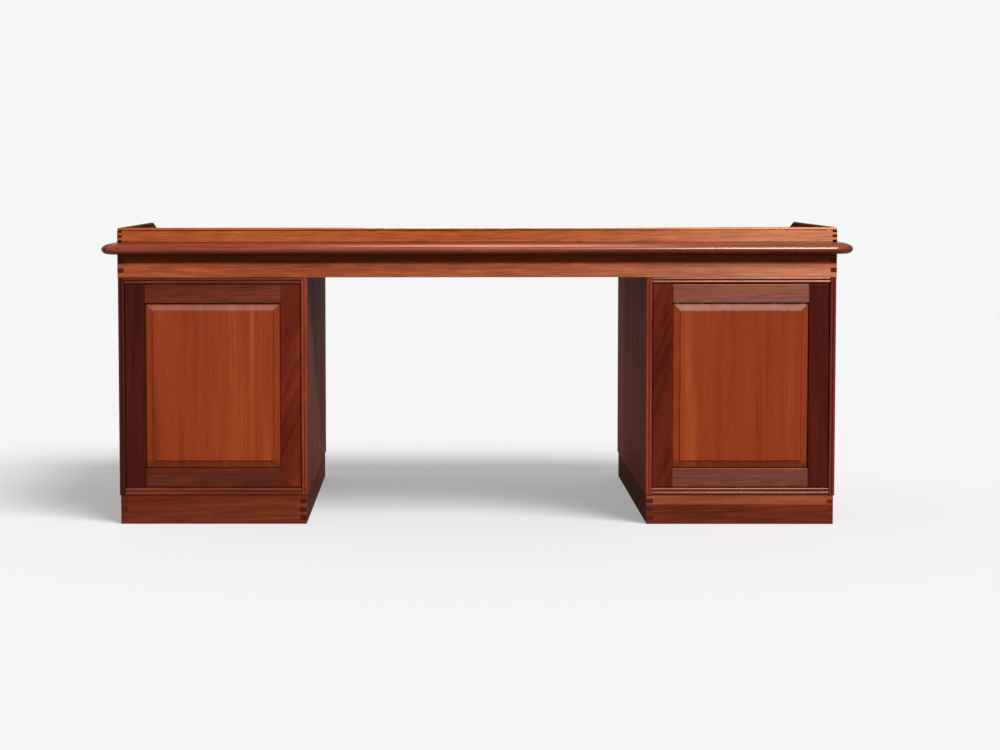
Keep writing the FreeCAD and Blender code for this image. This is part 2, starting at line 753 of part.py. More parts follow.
def drawer_pieces():
    """Fronts and boxes of the right-hand drawers."""
    pieces = {}
    for name, low, high in drawer_spans():
        pieces[f"{name}_front"] = drawer_front(low, high)
        pieces[f"{name}_box"] = drawer_box(low, high)
    return pieces


nodes = {}
nodes.update(top_pieces())
nodes.update(gallery_pieces())
nodes.update(frieze_pieces())
nodes.update(bearer_pieces())
nodes.update(on_both_sides("plinth", plinth_pieces()))
nodes.update(on_both_sides("case", case_pieces()))
nodes.update(fixed_groups())
nodes.update(on_both_sides("door", door_pieces()))
nodes.update(on_both_sides("latch", {"plunger": latch_pieces()[1]}))
nodes.update(on_both_sides("drawer", drawer_pieces()))

os.makedirs("parts", exist_ok=True)
for node_name, node_shape in nodes.items():
    node_shape.exportStep(f"parts/{node_name}.step")
print(len(nodes), "nodes,", sum(len(shape.Solids) for shape in nodes.values()), "solids")
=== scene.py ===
"""Looks of a partners desk: timber finishes, eased edges, small fasteners, studio and camera."""

import logging
import math
import random
from dataclasses import dataclass, replace
from enum import Enum
from typing import Any, Iterator, Optional

import bmesh
import bpy
from mathutils import Euler, Matrix, Vector


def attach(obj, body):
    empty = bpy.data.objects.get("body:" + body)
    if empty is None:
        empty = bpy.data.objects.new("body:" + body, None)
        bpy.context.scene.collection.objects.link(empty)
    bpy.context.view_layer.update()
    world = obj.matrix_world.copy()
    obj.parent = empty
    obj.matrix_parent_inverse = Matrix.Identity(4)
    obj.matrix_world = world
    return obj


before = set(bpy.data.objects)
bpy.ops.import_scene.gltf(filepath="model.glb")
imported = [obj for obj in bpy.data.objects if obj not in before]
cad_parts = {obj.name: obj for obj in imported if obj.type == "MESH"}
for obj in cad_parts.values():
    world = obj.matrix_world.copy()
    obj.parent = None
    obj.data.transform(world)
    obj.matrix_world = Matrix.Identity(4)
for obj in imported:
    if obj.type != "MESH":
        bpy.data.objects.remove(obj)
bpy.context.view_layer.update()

LOG = logging.getLogger("partners_desk")
MILLIMETRE = 0.001
QUARTER_TURN = math.pi / 2
RIGHT_ANGLE = 90.0
HALF = 0.5
WHITE = (1.0, 1.0, 1.0, 1.0)
DESK_BODY = "desk"

Colour = tuple[int, int, int]
Socket = bpy.types.NodeSocket


class Side(Enum):
    """The two pedestals, as the visitor sees them, and the sign of their X."""

    LEFT = -1
    RIGHT = 1

    @property
    def label(self) -> str:
        """The word that the node names use."""
        return self.name.lower()


class DrawerLevel(Enum):
    """The three drawers of a pedestal."""

    TOP = "top"
    MIDDLE = "middle"
    BOTTOM = "bottom"


class Axis(Enum):
    """The desk's axes, which also name the way that a board's grain runs."""

    X = 0
    Y = 1
    Z = 2

    @property
    def turn(self) -> tuple[float, float, float]:
        """Looks up how a texture is turned to follow this axis.

        Returns:
            Rotation that brings this axis onto the X axis of a texture.
        """
        turns = {
            Axis.X: (0.0, 0.0, 0.0),
            Axis.Y: (0.0, 0.0, -QUARTER_TURN),
            Axis.Z: (0.0, QUARTER_TURN, 0.0),
        }
        return turns[self]

    @property
    def next(self) -> "Axis":
        """The axis that follows this one."""
        return Axis((self.value + 1) % len(Axis))

    @property
    def unit(self) -> Vector:
        """Unit vector along the axis."""
        return Vector([float(axis is self) for axis in Axis])


def linear(colour: Colour) -> tuple[float, float, float, float]:
    """Converts an sRGB colour to the linear values that shaders use.

    Args:
        colour: Red, green and blue from 0 to 255.

    Returns:
        Linear red, green, blue and an alpha of 1.
    """
    full, toe, slope, lift, power = 255.0, 0.04045, 12.92, 0.055, 2.4

    def channel(value: int) -> float:
        """Undoes the sRGB curve of one channel.

        Args:
            value: The channel from 0 to 255.

        Returns:
            The linear channel from 0 to 1.
        """
        share = value / full
        if share <= toe:
            return share / slope
        return ((share + lift) / (1.0 + lift)) ** power

    red, green, blue = (channel(value) for value in colour)
    return red, green, blue, 1.0


class NodeSheet:
    """The node tree of a material or a world, with short calls for the nodes that are used here."""

    openness_samples = 3

    def __init__(self, owner: Any) -> None:
        """Empties the owner's node tree.

        Args:
            owner: A material or a world.
        """
        owner.use_nodes = True
        self.owner = owner
        self.tree = owner.node_tree
        self.tree.nodes.clear()

    def add(self, kind: str, **settings: Any) -> bpy.types.Node:
        """Adds a node.

        Args:
            kind: Blender's identifier of the node.
            settings: Properties that are set on the node.

        Returns:
            The new node.
        """
        node = self.tree.nodes.new(kind)
        for key, value in settings.items():
            setattr(node, key, value)
        return node

    def feed(self, socket: Socket, value: Any) -> None:
        """Links an input to another socket, or sets its own value.

        Args:
            socket: The input.
            value: A socket, or a plain value.
        """
        if isinstance(value, bpy.types.NodeSocket):
            self.tree.links.new(value, socket)
        else:
            socket.default_value = value

    def maths(self, operation: str, first: Any, second: Any = 0.0) -> Socket:
        """Works out one step of arithmetic.

        Args:
            operation: Blender's name of the operation.
            first: First value or socket.
            second: Second value or socket.

        Returns:
            The result.
        """
        node = self.add("ShaderNodeMath", operation=operation)
        self.feed(node.inputs[0], first)
        self.feed(node.inputs[1], second)
        return node.outputs[0]

    def remap(
        self, value: Any, low: float, high: float, to_low: float = 0.0, to_high: float = 1.0
    ) -> Socket:
        """Maps a value smoothly from one clamped range to another.

        Args:
            value: The socket that is mapped.
            low: Value that gives to_low.
            high: Value that gives to_high.
            to_low: Result at and beyond low.
            to_high: Result at and beyond high.

        Returns:
            The mapped value.
        """
        node = self.add("ShaderNodeMapRange", interpolation_type="SMOOTHSTEP")
        self.feed(node.inputs["Value"], value)
        limits = {"From Min": low, "From Max": high, "To Min": to_low, "To Max": to_high}
        for key, number in limits.items():
            node.inputs[key].default_value = number
        return node.outputs["Result"]

    def mapping(self, vector: Socket, **values: Any) -> Socket:
        """Moves, turns or scales a coordinate.

        Args:
            vector: The coordinate.
            values: Location, Rotation or Scale, as a vector or a socket.

        Returns:
            The changed coordinate.
        """
        node = self.add("ShaderNodeMapping")
        self.feed(node.inputs["Vector"], vector)
        for key, value in values.items():
            self.feed(node.inputs[key], value)
        return node.outputs["Vector"]

    def component(self, vector: Socket, axis: Axis) -> Socket:
        """Takes one component of a vector.

        Args:
            vector: The vector.
            axis: Which component.

        Returns:
            The component.
        """
        node = self.add("ShaderNodeSeparateXYZ")
        self.feed(node.inputs[0], vector)
        return node.outputs[axis.value]

    def noise(self, vector: Socket, along: float, across: float, detail: float = 2.0) -> Socket:
        """Makes noise that is drawn out along the fibres.

        Args:
            vector: Coordinate with the fibres on X.
            along: Features in each metre along the fibres.
            across: Features in each metre across them.
            detail: Octaves of finer noise.

        Returns:
            A value of about one half, more or less.
        """
        stretched = self.mapping(vector, Scale=(along, across, across))
        node = self.add("ShaderNodeTexNoise", noise_dimensions="3D")
        self.feed(node.inputs["Vector"], stretched)
        node.inputs["Scale"].default_value = 1.0
        node.inputs["Detail"].default_value = detail
        return node.outputs["Fac"]

    def ramp(self, value: Socket, stops: list[tuple[float, Colour]]) -> Socket:
        """Picks a colour from a ramp.

        Args:
            value: Place on the ramp, from 0 to 1.
            stops: Places and their sRGB colours, in order.

        Returns:
            The colour.
        """
        node = self.add("ShaderNodeValToRGB")
        node.color_ramp.interpolation = "EASE"
        elements = node.color_ramp.elements
        while len(elements) < len(stops):
            elements.new(1.0)
        for element, (place, colour) in zip(elements, stops):
            element.position = place
            element.color = linear(colour)
        self.feed(node.inputs["Fac"], value)
        return node.outputs["Color"]

    def blend(self, share: Any, first: Any, second: Any, mode: str = "MIX") -> Socket:
        """Mixes two colours.

        Args:
            share: Share of the second colour, from 0 to 1.
            first: First colour or socket.
            second: Second colour or socket.
            mode: Blender's name of the way of mixing.

        Returns:
            The mixed colour.
        """
        node = self.add("ShaderNodeMix", data_type="RGBA", blend_type=mode)
        self.feed(node.inputs["Factor"], share)
        first_socket, second_socket = [socket for socket in node.inputs if socket.type == "RGBA"]
        self.feed(first_socket, first)
        self.feed(second_socket, second)
        return next(socket for socket in node.outputs if socket.type == "RGBA")

    def choose(self, share: Socket, first: Any, second: Any) -> Socket:
        """Chooses between two vectors.

        Args:
            share: 0 for the first vector and 1 for the second.
            first: First vector or socket.
            second: Second vector or socket.

        Returns:
            The chosen vector.
        """
        node = self.add("ShaderNodeMix", data_type="VECTOR")
        self.feed(node.inputs["Factor"], share)
        first_socket, second_socket = [socket for socket in node.inputs if socket.type == "VECTOR"][-2:]
        self.feed(first_socket, first)
        self.feed(second_socket, second)
        return next(socket for socket in node.outputs if socket.type == "VECTOR")

    def openness(self, reach: float, inside: bool) -> Socket:
        """Measures how free a point is of surfaces that are near it.

        Args:
            reach: How far away surfaces count, in metres.
            inside: Whether to look into the piece and not out of it.

        Returns:
            1 where the point is free, and less where it isn't.
        """
        node = self.add("ShaderNodeAmbientOcclusion", inside=inside, only_local=inside)
        node.samples = self.openness_samples
        node.inputs["Distance"].default_value = reach
        return node.outputs["AO"]

    def bump(self, height: Socket, strength: float, distance: float) -> Socket:
        """Makes a shading normal from a height.

        Args:
            height: The height.
            strength: Share of the effect, from 0 to 1.
            distance: Metres that a height of 1 stands for.

        Returns:
            The normal.
        """
        node = self.add("ShaderNodeBump")
        self.feed(node.inputs["Height"], height)
        node.inputs["Strength"].default_value = strength
        node.inputs["Distance"].default_value = distance
        return node.outputs["Normal"]

    def surface(self, shader: bpy.types.Node, output_kind: str = "ShaderNodeOutputMaterial") -> Any:
        """Puts a shader on the output.

        Args:
            shader: Node whose first output is the shader.
            output_kind: Blender's identifier of the output node.

        Returns:
            The material or world.
        """
        output = self.add(output_kind)
        self.tree.links.new(shader.outputs[0], output.inputs["Surface"])
        return self.owner


@dataclass(frozen=True)
class Tones:
    """Three sRGB tones of a timber, from its dark lines to its light ones, and their ramp places."""

    dark: Colour
    middle: Colour
    light: Colour
    dark_at: float = 0.25
    middle_at: float = 0.5
    light_at: float = 0.75

    def stops(self) -> list[tuple[float, Colour]]:
        """The tones as stops of a colour ramp."""
        return [(self.dark_at, self.dark), (self.middle_at, self.middle), (self.light_at, self.light)]


@dataclass(frozen=True)
class Figure:
    """How far each pattern in the wood swings the tone, and its features per metre along and across."""

    rings: float = 0.5
    rings_across: float = 85.0
    rings_detail: float = 2.0
    streaks: float = 0.9
    streaks_along: float = 5.0
    streaks_across: float = 170.0
    streaks_detail: float = 3.0
    clouds: float = 0.7
    clouds_along: float = 1.2
    clouds_across: float = 10.0
    clouds_detail: float = 1.0
    staves: float = 0.0
    stave_width: float = 0.085
    pores: float = 0.22
    pores_along: float = 30.0
    pores_across: float = 600.0
    pores_detail: float = 1.0
    pores_from: float = 0.56
    pores_to: float = 0.7


@dataclass(frozen=True)
class Gloss:
    """The polish on a timber, drawn out along its fibres."""

    roughness: float = 0.42
    specular: float = 0.1
    tint: tuple[float, float, float, float] = (1.0, 0.6, 0.4, 1.0)
    anisotropy: float = 0.8
    across_fibres: float = 0.25
    unevenness: float = 0.05
    uneven_from: float = 0.3
    uneven_to: float = 0.7
    relief: float = 0.2
    relief_depth: float = 0.1 * MILLIMETRE


@dataclass(frozen=True)
class TimberFinish:
    """A polished timber: tones, figure, gloss, age and painted shade in its crevices."""

    name: str
    tones: Tones
    figure: Figure = Figure()
    gloss: Gloss = Gloss()
    end_grain: float = 0.9
    end_grain_colour: Colour = (132, 84, 84)
    # Crevice darkening: grime together with painted shade, found by ambient occlusion within
    # crevice_reach
    grime: float = 0.9
    grime_colour: Colour = (72, 34, 28)
    crevice_reach: float = 4 * MILLIMETRE
    crevice_open: float = 0.98
    crevice_shut: float = 0.86
    rub: float = 0.06
    rub_colour: Colour = (206, 132, 88)
    rub_from: float = 0.3
    rub_to: float = 0.6
    arris_reach: float = 1.5 * MILLIMETRE
    arris_blunt: float = 0.95
    arris_sharp: float = 0.6
    facing_from: float = 0.6
    facing_to: float = 0.85
    # Other tones for broad faces and for the part above strip_level; some finishes use them as painted
    # light and shade
    face_tones: Optional[Tones] = None
    strip_tones: Optional[Tones] = None
    strip_level: float = 0.0

    def material(self, board: "Board") -> bpy.types.Material:
        """Makes the finish for one board.

        Args:
            board: The board, whose grain and place in the log the figure follows.

        Returns:
            A material of the board's own.
        """
        sheet = NodeSheet(bpy.data.materials.new(f"{self.name}.{board.node}"))
        coordinates = sheet.add("ShaderNodeTexCoord")
        place = coordinates.outputs["Object"]
        normal = coordinates.outputs["Normal"]
        fibres = board.fibres(sheet, place)
        figure = self.figure
        streaks = sheet.noise(fibres, figure.streaks_along, figure.streaks_across, figure.streaks_detail)
        flecks = sheet.noise(fibres, figure.pores_along, figure.pores_across, figure.pores_detail)
        pores = sheet.remap(flecks, figure.pores_from, figure.pores_to)
        tone = self._tone(sheet, board, place, fibres, streaks)
        colour = self._ground(sheet, tone, place, normal)
        pore_share = sheet.maths("MULTIPLY", pores, figure.pores)
        colour = sheet.blend(pore_share, colour, linear(self.grime_colour), "MULTIPLY")
        sawn = self._facing(sheet, board.turned(sheet, normal, place), Axis.X)
        sawn_share = sheet.maths("MULTIPLY", sawn, self.end_grain)
        colour = sheet.blend(sawn_share, colour, linear(self.end_grain_colour), "MULTIPLY")
        colour = self._aged(sheet, colour, streaks)
        height = sheet.maths("SUBTRACT", sheet.maths("MULTIPLY", streaks, HALF), pores)
        shader = self._polish(sheet, board, streaks, sawn)
        sheet.feed(shader.inputs["Base Color"], colour)
        if self.gloss.relief:
            relief = sheet.bump(height, self.gloss.relief, self.gloss.relief_depth)
            sheet.feed(shader.inputs["Normal"], relief)
        return sheet.surface(shader)

    def _tone(
        self, sheet: NodeSheet, board: "Board", place: Socket, fibres: Socket, streaks: Socket
    ) -> Socket:
        """Adds up the patterns of the wood.

        Args:
            sheet: Node tree of the material.
            board: The board.
            place: Coordinate on the board.
            fibres: Coordinate with the fibres on X.
            streaks: Pattern of the streaks.

        Returns:
            The tone of the wood before colour, about one half.
        """
        figure = self.figure
        rings = board.rings(sheet, place, fibres)
        clouds = sheet.noise(fibres, figure.clouds_along, figure.clouds_across, figure.clouds_detail)
        patterns = [(rings, figure.rings), (streaks, figure.streaks), (clouds, figure.clouds)]
        if figure.staves:
            patterns.append((board.stave_tone(sheet, place), figure.staves))
        tone: Any = HALF
        for pattern, contrast in patterns:
            swing = sheet.maths("MULTIPLY", sheet.maths("SUBTRACT", pattern, HALF), contrast)
            tone = sheet.maths("ADD", tone, swing)
        return tone

    def _ground(self, sheet: NodeSheet, tone: Socket, place: Socket, normal: Socket) -> Socket:
        """Colours the wood, with other tones on the broad faces or above a level where it has them; some
        finishes use these to paint light and shade.

        Args:
            sheet: Node tree of the material.
            tone: Tone of the wood.
            place: Coordinate on the board.
            normal: Direction that the surface faces.

        Returns:
            The colour.
        """
        colour = sheet.ramp(tone, self.tones.stops())
        if self.face_tones is not None:
            broad = self._facing(sheet, normal, Axis.X)
            colour = sheet.blend(broad, colour, sheet.ramp(tone, self.face_tones.stops()))
        if self.strip_tones is not None:
            level = sheet.component(place, Axis.Z)
            above = sheet.remap(level, self.strip_level, self.strip_level + MILLIMETRE)
            colour = sheet.blend(above, colour, sheet.ramp(tone, self.strip_tones.stops()))
        return colour

    def _facing(self, sheet: NodeSheet, normal: Socket, axis: Axis) -> Socket:
        """How squarely a face looks along an axis, from 0 to 1."""
        squareness = sheet.maths("ABSOLUTE", sheet.component(normal, axis))
        return sheet.remap(squareness, self.facing_from, self.facing_to)

    def _aged(self, sheet: NodeSheet, colour: Socket, streaks: Socket) -> Socket:
        """Darkens crevices, with old polish that gathers there and with painted shade, and lightens the
        arrises that hands have rubbed.

        Args:
            sheet: Node tree of the material.
            colour: Colour of the new wood.
            streaks: Pattern of the streaks, which the rubbing follows.

        Returns:
            The aged colour.
        """
        # Painted shade and grime: ambient occlusion darkens crevices, joints and recesses
        openness = sheet.openness(self.crevice_reach, inside=False)
        crevice = sheet.remap(openness, self.crevice_open, self.crevice_shut)
        grime_and_shade_share = sheet.maths("MULTIPLY", crevice, self.grime)
        colour = sheet.blend(grime_and_shade_share, colour, linear(self.grime_colour), "MULTIPLY")
        bluntness = sheet.openness(self.arris_reach, inside=True)
        arris = sheet.remap(bluntness, self.arris_blunt, self.arris_sharp)
        patchy = sheet.maths("MULTIPLY", arris, sheet.remap(streaks, self.rub_from, self.rub_to))
        return sheet.blend(sheet.maths("MULTIPLY", patchy, self.rub), colour, linear(self.rub_colour))

    def _polish(self, sheet: NodeSheet, board: "Board", streaks: Socket, sawn: Socket) -> bpy.types.Node:
        """Makes a shader whose highlights run across the fibres, or across the saw marks on sawn ends.

        Args:
            sheet: Node tree of the material.
            board: The board.
            streaks: Pattern of the streaks, which the unevenness follows.
            sawn: How squarely the surface cuts the fibres, from 0 to 1.

        Returns:
            The shader.
        """
        gloss = self.gloss
        shader = sheet.add("ShaderNodeBsdfPrincipled")
        shader.inputs["Roughness"].default_value = gloss.roughness
        if gloss.unevenness:
            low = gloss.roughness - gloss.unevenness
            high = gloss.roughness + gloss.unevenness
            uneven = sheet.remap(streaks, gloss.uneven_from, gloss.uneven_to, low, high)
            sheet.feed(shader.inputs["Roughness"], uneven)
        shader.inputs["Specular IOR Level"].default_value = gloss.specular
        shader.inputs["Specular Tint"].default_value = gloss.tint
        shader.inputs["Anisotropic"].default_value = gloss.anisotropy
        shader.inputs["Anisotropic Rotation"].default_value = gloss.across_fibres
        tangent = sheet.add("ShaderNodeVectorTransform", vector_type="VECTOR")
        tangent.convert_from = "OBJECT"
        tangent.convert_to = "WORLD"
        sheet.feed(tangent.inputs[0], sheet.choose(sawn, board.grain.unit, board.grain.next.unit))
        sheet.feed(shader.inputs["Tangent"], tangent.outputs[0])
        return shader


@dataclass(frozen=True)
class Board:
    """One timber node: its finish, which way its grain runs and how it lay in the log."""

    node: str
    finish: TimberFinish
    grain: Axis
    lean: float = 0.6
    taper: float = 0.012
    wander: float = 0.01
    wander_along: float = 1.4
    wander_across: float = 6.0
    log_reach: float = 9.0
    heart_near: float = 0.05
    heart_far: float = 0.2
    heart_aside: float = 0.15
    easing: float = 0.5
    staves_across: Axis = Axis.X
    moulded: bool = False

    def dress(self) -> None:
        """Gives the node its finish and eases its arrises."""
        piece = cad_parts[self.node]
        wear(piece, self.finish.material(self))
        ease_edges(piece, self.easing * MILLIMETRE, self.moulded)
        LOG.info("board %s: %s, grain along %s", self.node, self.finish.name, self.grain.name)

    def turned(self, sheet: NodeSheet, vector: Socket, place: Socket) -> Socket:
        """A vector turned so that the grain lies on its X axis; boards of mixed grain use the place."""
        return sheet.mapping(vector, Rotation=self.grain.turn)

    def fibres(self, sheet: NodeSheet, place: Socket) -> Socket:
        """Lays the board at its own place in the log.

        Args:
            sheet: Node tree of the material.
            place: Coordinate on the board.

        Returns:
            Coordinate in metres with the fibres on X.
        """
        draw = random.Random(self.node)
        log_place = Vector([draw.uniform(-self.log_reach, self.log_reach) for _ in Axis])
        lean = (0.0, math.radians(self.lean), 0.0)
        leaned = sheet.mapping(self.turned(sheet, place, place), Rotation=lean, Location=log_place)
        if not self.finish.figure.staves:
            return leaned
        stave = self._stave_draw(sheet, place).outputs["Color"]
        jump = sheet.mapping(stave, Scale=Vector([self.log_reach for _ in Axis]))
        return sheet.mapping(leaned, Location=jump)

    def rings(self, sheet: NodeSheet, place: Socket, fibres: Socket) -> Socket:
        """Draws growth rings round a heart that lies behind the board.

        Args:
            sheet: Node tree of the material.
            place: Coordinate on the board.
            fibres: Coordinate with the fibres on X.

        Returns:
            A value of about one half, more or less.
        """
        figure = self.finish.figure
        draw = random.Random(f"heart of {self.node}")
        depth = draw.uniform(self.heart_near, self.heart_far)
        aside = draw.uniform(-self.heart_aside, self.heart_aside)
        heart = self._middle() + Vector((0.0, depth, aside))
        from_heart = sheet.mapping(
            self.turned(sheet, place, place), Location=(0.0, -heart.y, -heart.z), Scale=(0.0, 1.0, 1.0)
        )
        length = sheet.add("ShaderNodeVectorMath", operation="LENGTH")
        sheet.feed(length.inputs[0], from_heart)
        wandering = sheet.noise(fibres, self.wander_along, self.wander_across)
        drift = sheet.maths("MULTIPLY", wandering, self.wander)
        along = sheet.maths("MULTIPLY", sheet.component(fibres, Axis.X), self.taper)
        radius = sheet.maths("ADD", sheet.maths("ADD", length.outputs["Value"], drift), along)
        rings = sheet.add("ShaderNodeTexNoise", noise_dimensions="1D")
        sheet.feed(rings.inputs["W"], radius)
        rings.inputs["Scale"].default_value = figure.rings_across
        rings.inputs["Detail"].default_value = figure.rings_detail
        return rings.outputs["Fac"]

    def stave_tone(self, sheet: NodeSheet, place: Socket) -> Socket:
        """A value from 0 to 1 that is the same all over one glued stave."""
        return self._stave_draw(sheet, place).outputs["Value"]

    def _stave_draw(self, sheet: NodeSheet, place: Socket) -> bpy.types.Node:
        """Makes a random draw for each stave of a panel that is glued up from several.

        Args:
            sheet: Node tree of the material.
            place: Coordinate on the board.

        Returns:
            Node that gives a random value and a random colour.
        """
        across = sheet.component(place, self.staves_across)
        number = sheet.maths("FLOOR", sheet.maths("DIVIDE", across, self.finish.figure.stave_width))
        draw = sheet.add("ShaderNodeTexWhiteNoise", noise_dimensions="1D")
        sheet.feed(draw.inputs["W"], number)
        return draw

    def _middle(self) -> Vector:
        """Finds the middle of the node.

        Returns:
            The middle in coordinates that have the grain on X.
        """
        corners = [Vector(corner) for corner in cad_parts[self.node].bound_box]
        middle = sum(corners, Vector()) / len(corners)
        middle.rotate(Euler(self.grain.turn))
        return middle


@dataclass(frozen=True)
class DrawerBox(Board):
    """The boards of a drawer box: fibres along its sides, and across its back and its bottom."""

    box_middle: float = 0.7065
    half_inside: float = 0.2213

    def turned(self, sheet: NodeSheet, vector: Socket, place: Socket) -> Socket:
        """Turns a vector so that the grain lies on its X axis.

        Args:
            sheet: Node tree of the material.
            vector: The vector.
            place: Coordinate on the box, which tells its sides from what is between them.

        Returns:
            The turned vector.
        """
        along = sheet.mapping(vector, Rotation=self.grain.turn)
        from_desk_middle = sheet.maths("ABSOLUTE", sheet.component(place, Axis.X))
        from_box_middle = sheet.maths("SUBTRACT", from_desk_middle, self.box_middle)
        between = sheet.maths("LESS_THAN", sheet.maths("ABSOLUTE", from_box_middle), self.half_inside)
        return sheet.choose(between, along, vector)


@dataclass(frozen=True)
class MetalFinish:
    """A plain metal with a little tarnish and fine brushing."""

    name: str
    clean: Colour
    tarnished: Colour
    roughness: float
    dulling: float = 0.1
    dull_at: float = 0.3
    bright_at: float = 0.7
    tarnished_at: float = 0.35
    clean_at: float = 0.65
    clouds: float = 60.0
    clouds_detail: float = 3.0
    brushing_along: float = 300.0
    brushing_across: float = 4000.0
    brushing_detail: float = 1.0
    relief: float = 0.2
    relief_depth: float = 0.05 * MILLIMETRE

    def material(self) -> bpy.types.Material:
        """Makes the finish.

        Returns:
            A material that all pieces of this metal share.
        """
        sheet = NodeSheet(bpy.data.materials.new(self.name))
        place = sheet.add("ShaderNodeTexCoord").outputs["Object"]
        cloud = sheet.noise(place, self.clouds, self.clouds, self.clouds_detail)
        brushing = sheet.noise(place, self.brushing_along, self.brushing_across, self.brushing_detail)
        shader = sheet.add("ShaderNodeBsdfPrincipled")
        stops = [(self.tarnished_at, self.tarnished), (self.clean_at, self.clean)]
        sheet.feed(shader.inputs["Base Color"], sheet.ramp(cloud, stops))
        shader.inputs["Metallic"].default_value = 1.0
        dull = self.roughness + self.dulling
        roughness = sheet.remap(cloud, self.dull_at, self.bright_at, dull, self.roughness)
        sheet.feed(shader.inputs["Roughness"], roughness)
        sheet.feed(shader.inputs["Normal"], sheet.bump(brushing, self.relief, self.relief_depth))
        return sheet.surface(shader)


@dataclass(frozen=True)
class PlasticFinish:
    """A moulded plastic with a fine sparked skin."""

    name: str
    colour: Colour
    roughness: float = 0.5
    shade: float = 0.75
    sparks: float = 1800.0
    pits_at: float = 0.3
    skin_at: float = 0.7
    relief: float = 0.3
    relief_depth: float = 0.08 * MILLIMETRE

    def material(self) -> bpy.types.Material:
        """Makes the finish.

        Returns:
            A material that all pieces of this plastic share.
        """
        sheet = NodeSheet(bpy.data.materials.new(self.name))
        place = sheet.add("ShaderNodeTexCoord").outputs["Object"]
        skin = sheet.noise(place, self.sparks, self.sparks)
        pits = tuple(round(channel * self.shade) for channel in self.colour)
        shader = sheet.add("ShaderNodeBsdfPrincipled")
        stops = [(self.pits_at, pits), (self.skin_at, self.colour)]
        sheet.feed(shader.inputs["Base Color"], sheet.ramp(skin, stops))
        shader.inputs["Roughness"].default_value = self.roughness
        sheet.feed(shader.inputs["Normal"], sheet.bump(skin, self.relief, self.relief_depth))
        return sheet.surface(shader)


def wear(piece: bpy.types.Object, material: bpy.types.Material) -> None:
    """Puts one material on every slot of a piece.

    Args:
        piece: A CAD node or a scene piece.
        material: The material.
    """
    if not piece.material_slots:
        piece.data.materials.append(material)
    for slot in piece.material_slots:
        slot.material = material


# Easing: reach of the weld, angle under which faces are flat, and angle over which arrises are sharp
WELD_REACH = 0.02 * MILLIMETRE
FLAT_ANGLE = math.radians(0.5)
SHARP_ANGLE = math.radians(38.0)
EASING_SEGMENTS = 2


def ease_edges(piece: bpy.types.Object, width: float, moulded: bool = False) -> None:
    """Rounds the sharp arrises of a piece with modifiers and leaves its own mesh alone.

    Args:
        piece: A CAD node or a scene piece.
        width: Width of the rounding in metres.
        moulded: Whether long curved faces need normals that stay square to their length.
    """
    weld = piece.modifiers.new("weld", "WELD")
    weld.merge_threshold = WELD_REACH
    flatten = piece.modifiers.new("flatten", "DECIMATE")
    flatten.decimate_type = "DISSOLVE"
    flatten.angle_limit = FLAT_ANGLE
    easing = piece.modifiers.new("easing", "BEVEL")
    easing.width = width
    easing.segments = EASING_SEGMENTS
    easing.limit_method = "ANGLE"
    easing.angle_limit = SHARP_ANGLE
    easing.use_clamp_overlap = False
    easing.harden_normals = not moulded
    if moulded:
        piece.modifiers.new("normals", "WEIGHTED_NORMAL")


# Polishes: for level and upright grain, for faces kept from the light, and for each kind of board
LEVEL_GLOSS = Gloss(specular=0.12, tint=(1.0, 0.45, 0.3, 1.0))
UPRIGHT_GLOSS = Gloss(specular=0.05, tint=(1.0, 0.7, 0.55, 1.0))
DULL_GLOSS = Gloss(specular=0.0006, anisotropy=0.0)
NOSING_GLOSS = Gloss(
    roughness=0.32, specular=0.1, tint=(1.0, 0.92, 0.84, 1.0), anisotropy=0.3, unevenness=0.0, relief=0.0
)
FRIEZE_GLOSS = Gloss(specular=0.2, tint=(1.0, 0.5, 0.31, 1.0))
PANEL_GLOSS = Gloss(specular=0.1, tint=(1.0, 0.92, 0.88, 1.0))
GALLERY_GLOSS = Gloss(specular=0.12, tint=(1.0, 0.6, 0.34, 1.0))
REED_GLOSS = Gloss(
    roughness=0.36, specular=0.165, tint=(1.0, 0.4, 0.28, 1.0), anisotropy=0.5, relief=0.05
)
LOW_REED_GLOSS = replace(REED_GLOSS, specular=0.08, tint=(1.0, 0.5, 0.4, 1.0))
OUTER_REED_GLOSS = Gloss(roughness=0.4, specular=0.2, tint=(1.0, 0.42, 0.32, 1.0), anisotropy=0.0)
PLINTH_GLOSS = Gloss(specular=0.02, anisotropy=0.5)
TOP_GLOSS = Gloss(roughness=0.35, specular=0.2)
BEECH_GLOSS = Gloss(specular=0.15, tint=(1.0, 0.9, 0.8, 1.0), anisotropy=0.4)

# Figures: flecked for level boards, quiet for the door frames and plinths, ribbon for the panels, and
# staves for boards that are glued up
FLECKED_FIGURE = Figure(rings=0.35, streaks_along=13.0, streaks_across=200.0)
QUIET_FLECKED_FIGURE = Figure(rings=0.25, streaks=0.7, streaks_along=13.0, streaks_across=200.0)
QUIET_FIGURE = Figure(rings=0.15, streaks=0.65, streaks_across=70.0)
RIBBON_FIGURE = Figure(
    rings=0.15, streaks=0.34, clouds=0.65, clouds_across=22.0, staves=0.14, pores=0.18
)
PLINTH_FIGURE = Figure(rings=0.25, streaks=0.5, streaks_along=9.0)
GLUED_FIGURE = Figure(rings=0.3, streaks=0.6, staves=0.14, stave_width=0.12)
TOP_FIGURE = Figure(rings=0.3, streaks=0.7, staves=0.2, stave_width=0.129)
BEECH_FIGURE = Figure(rings=0.3, streaks=0.4, pores_across=900.0)

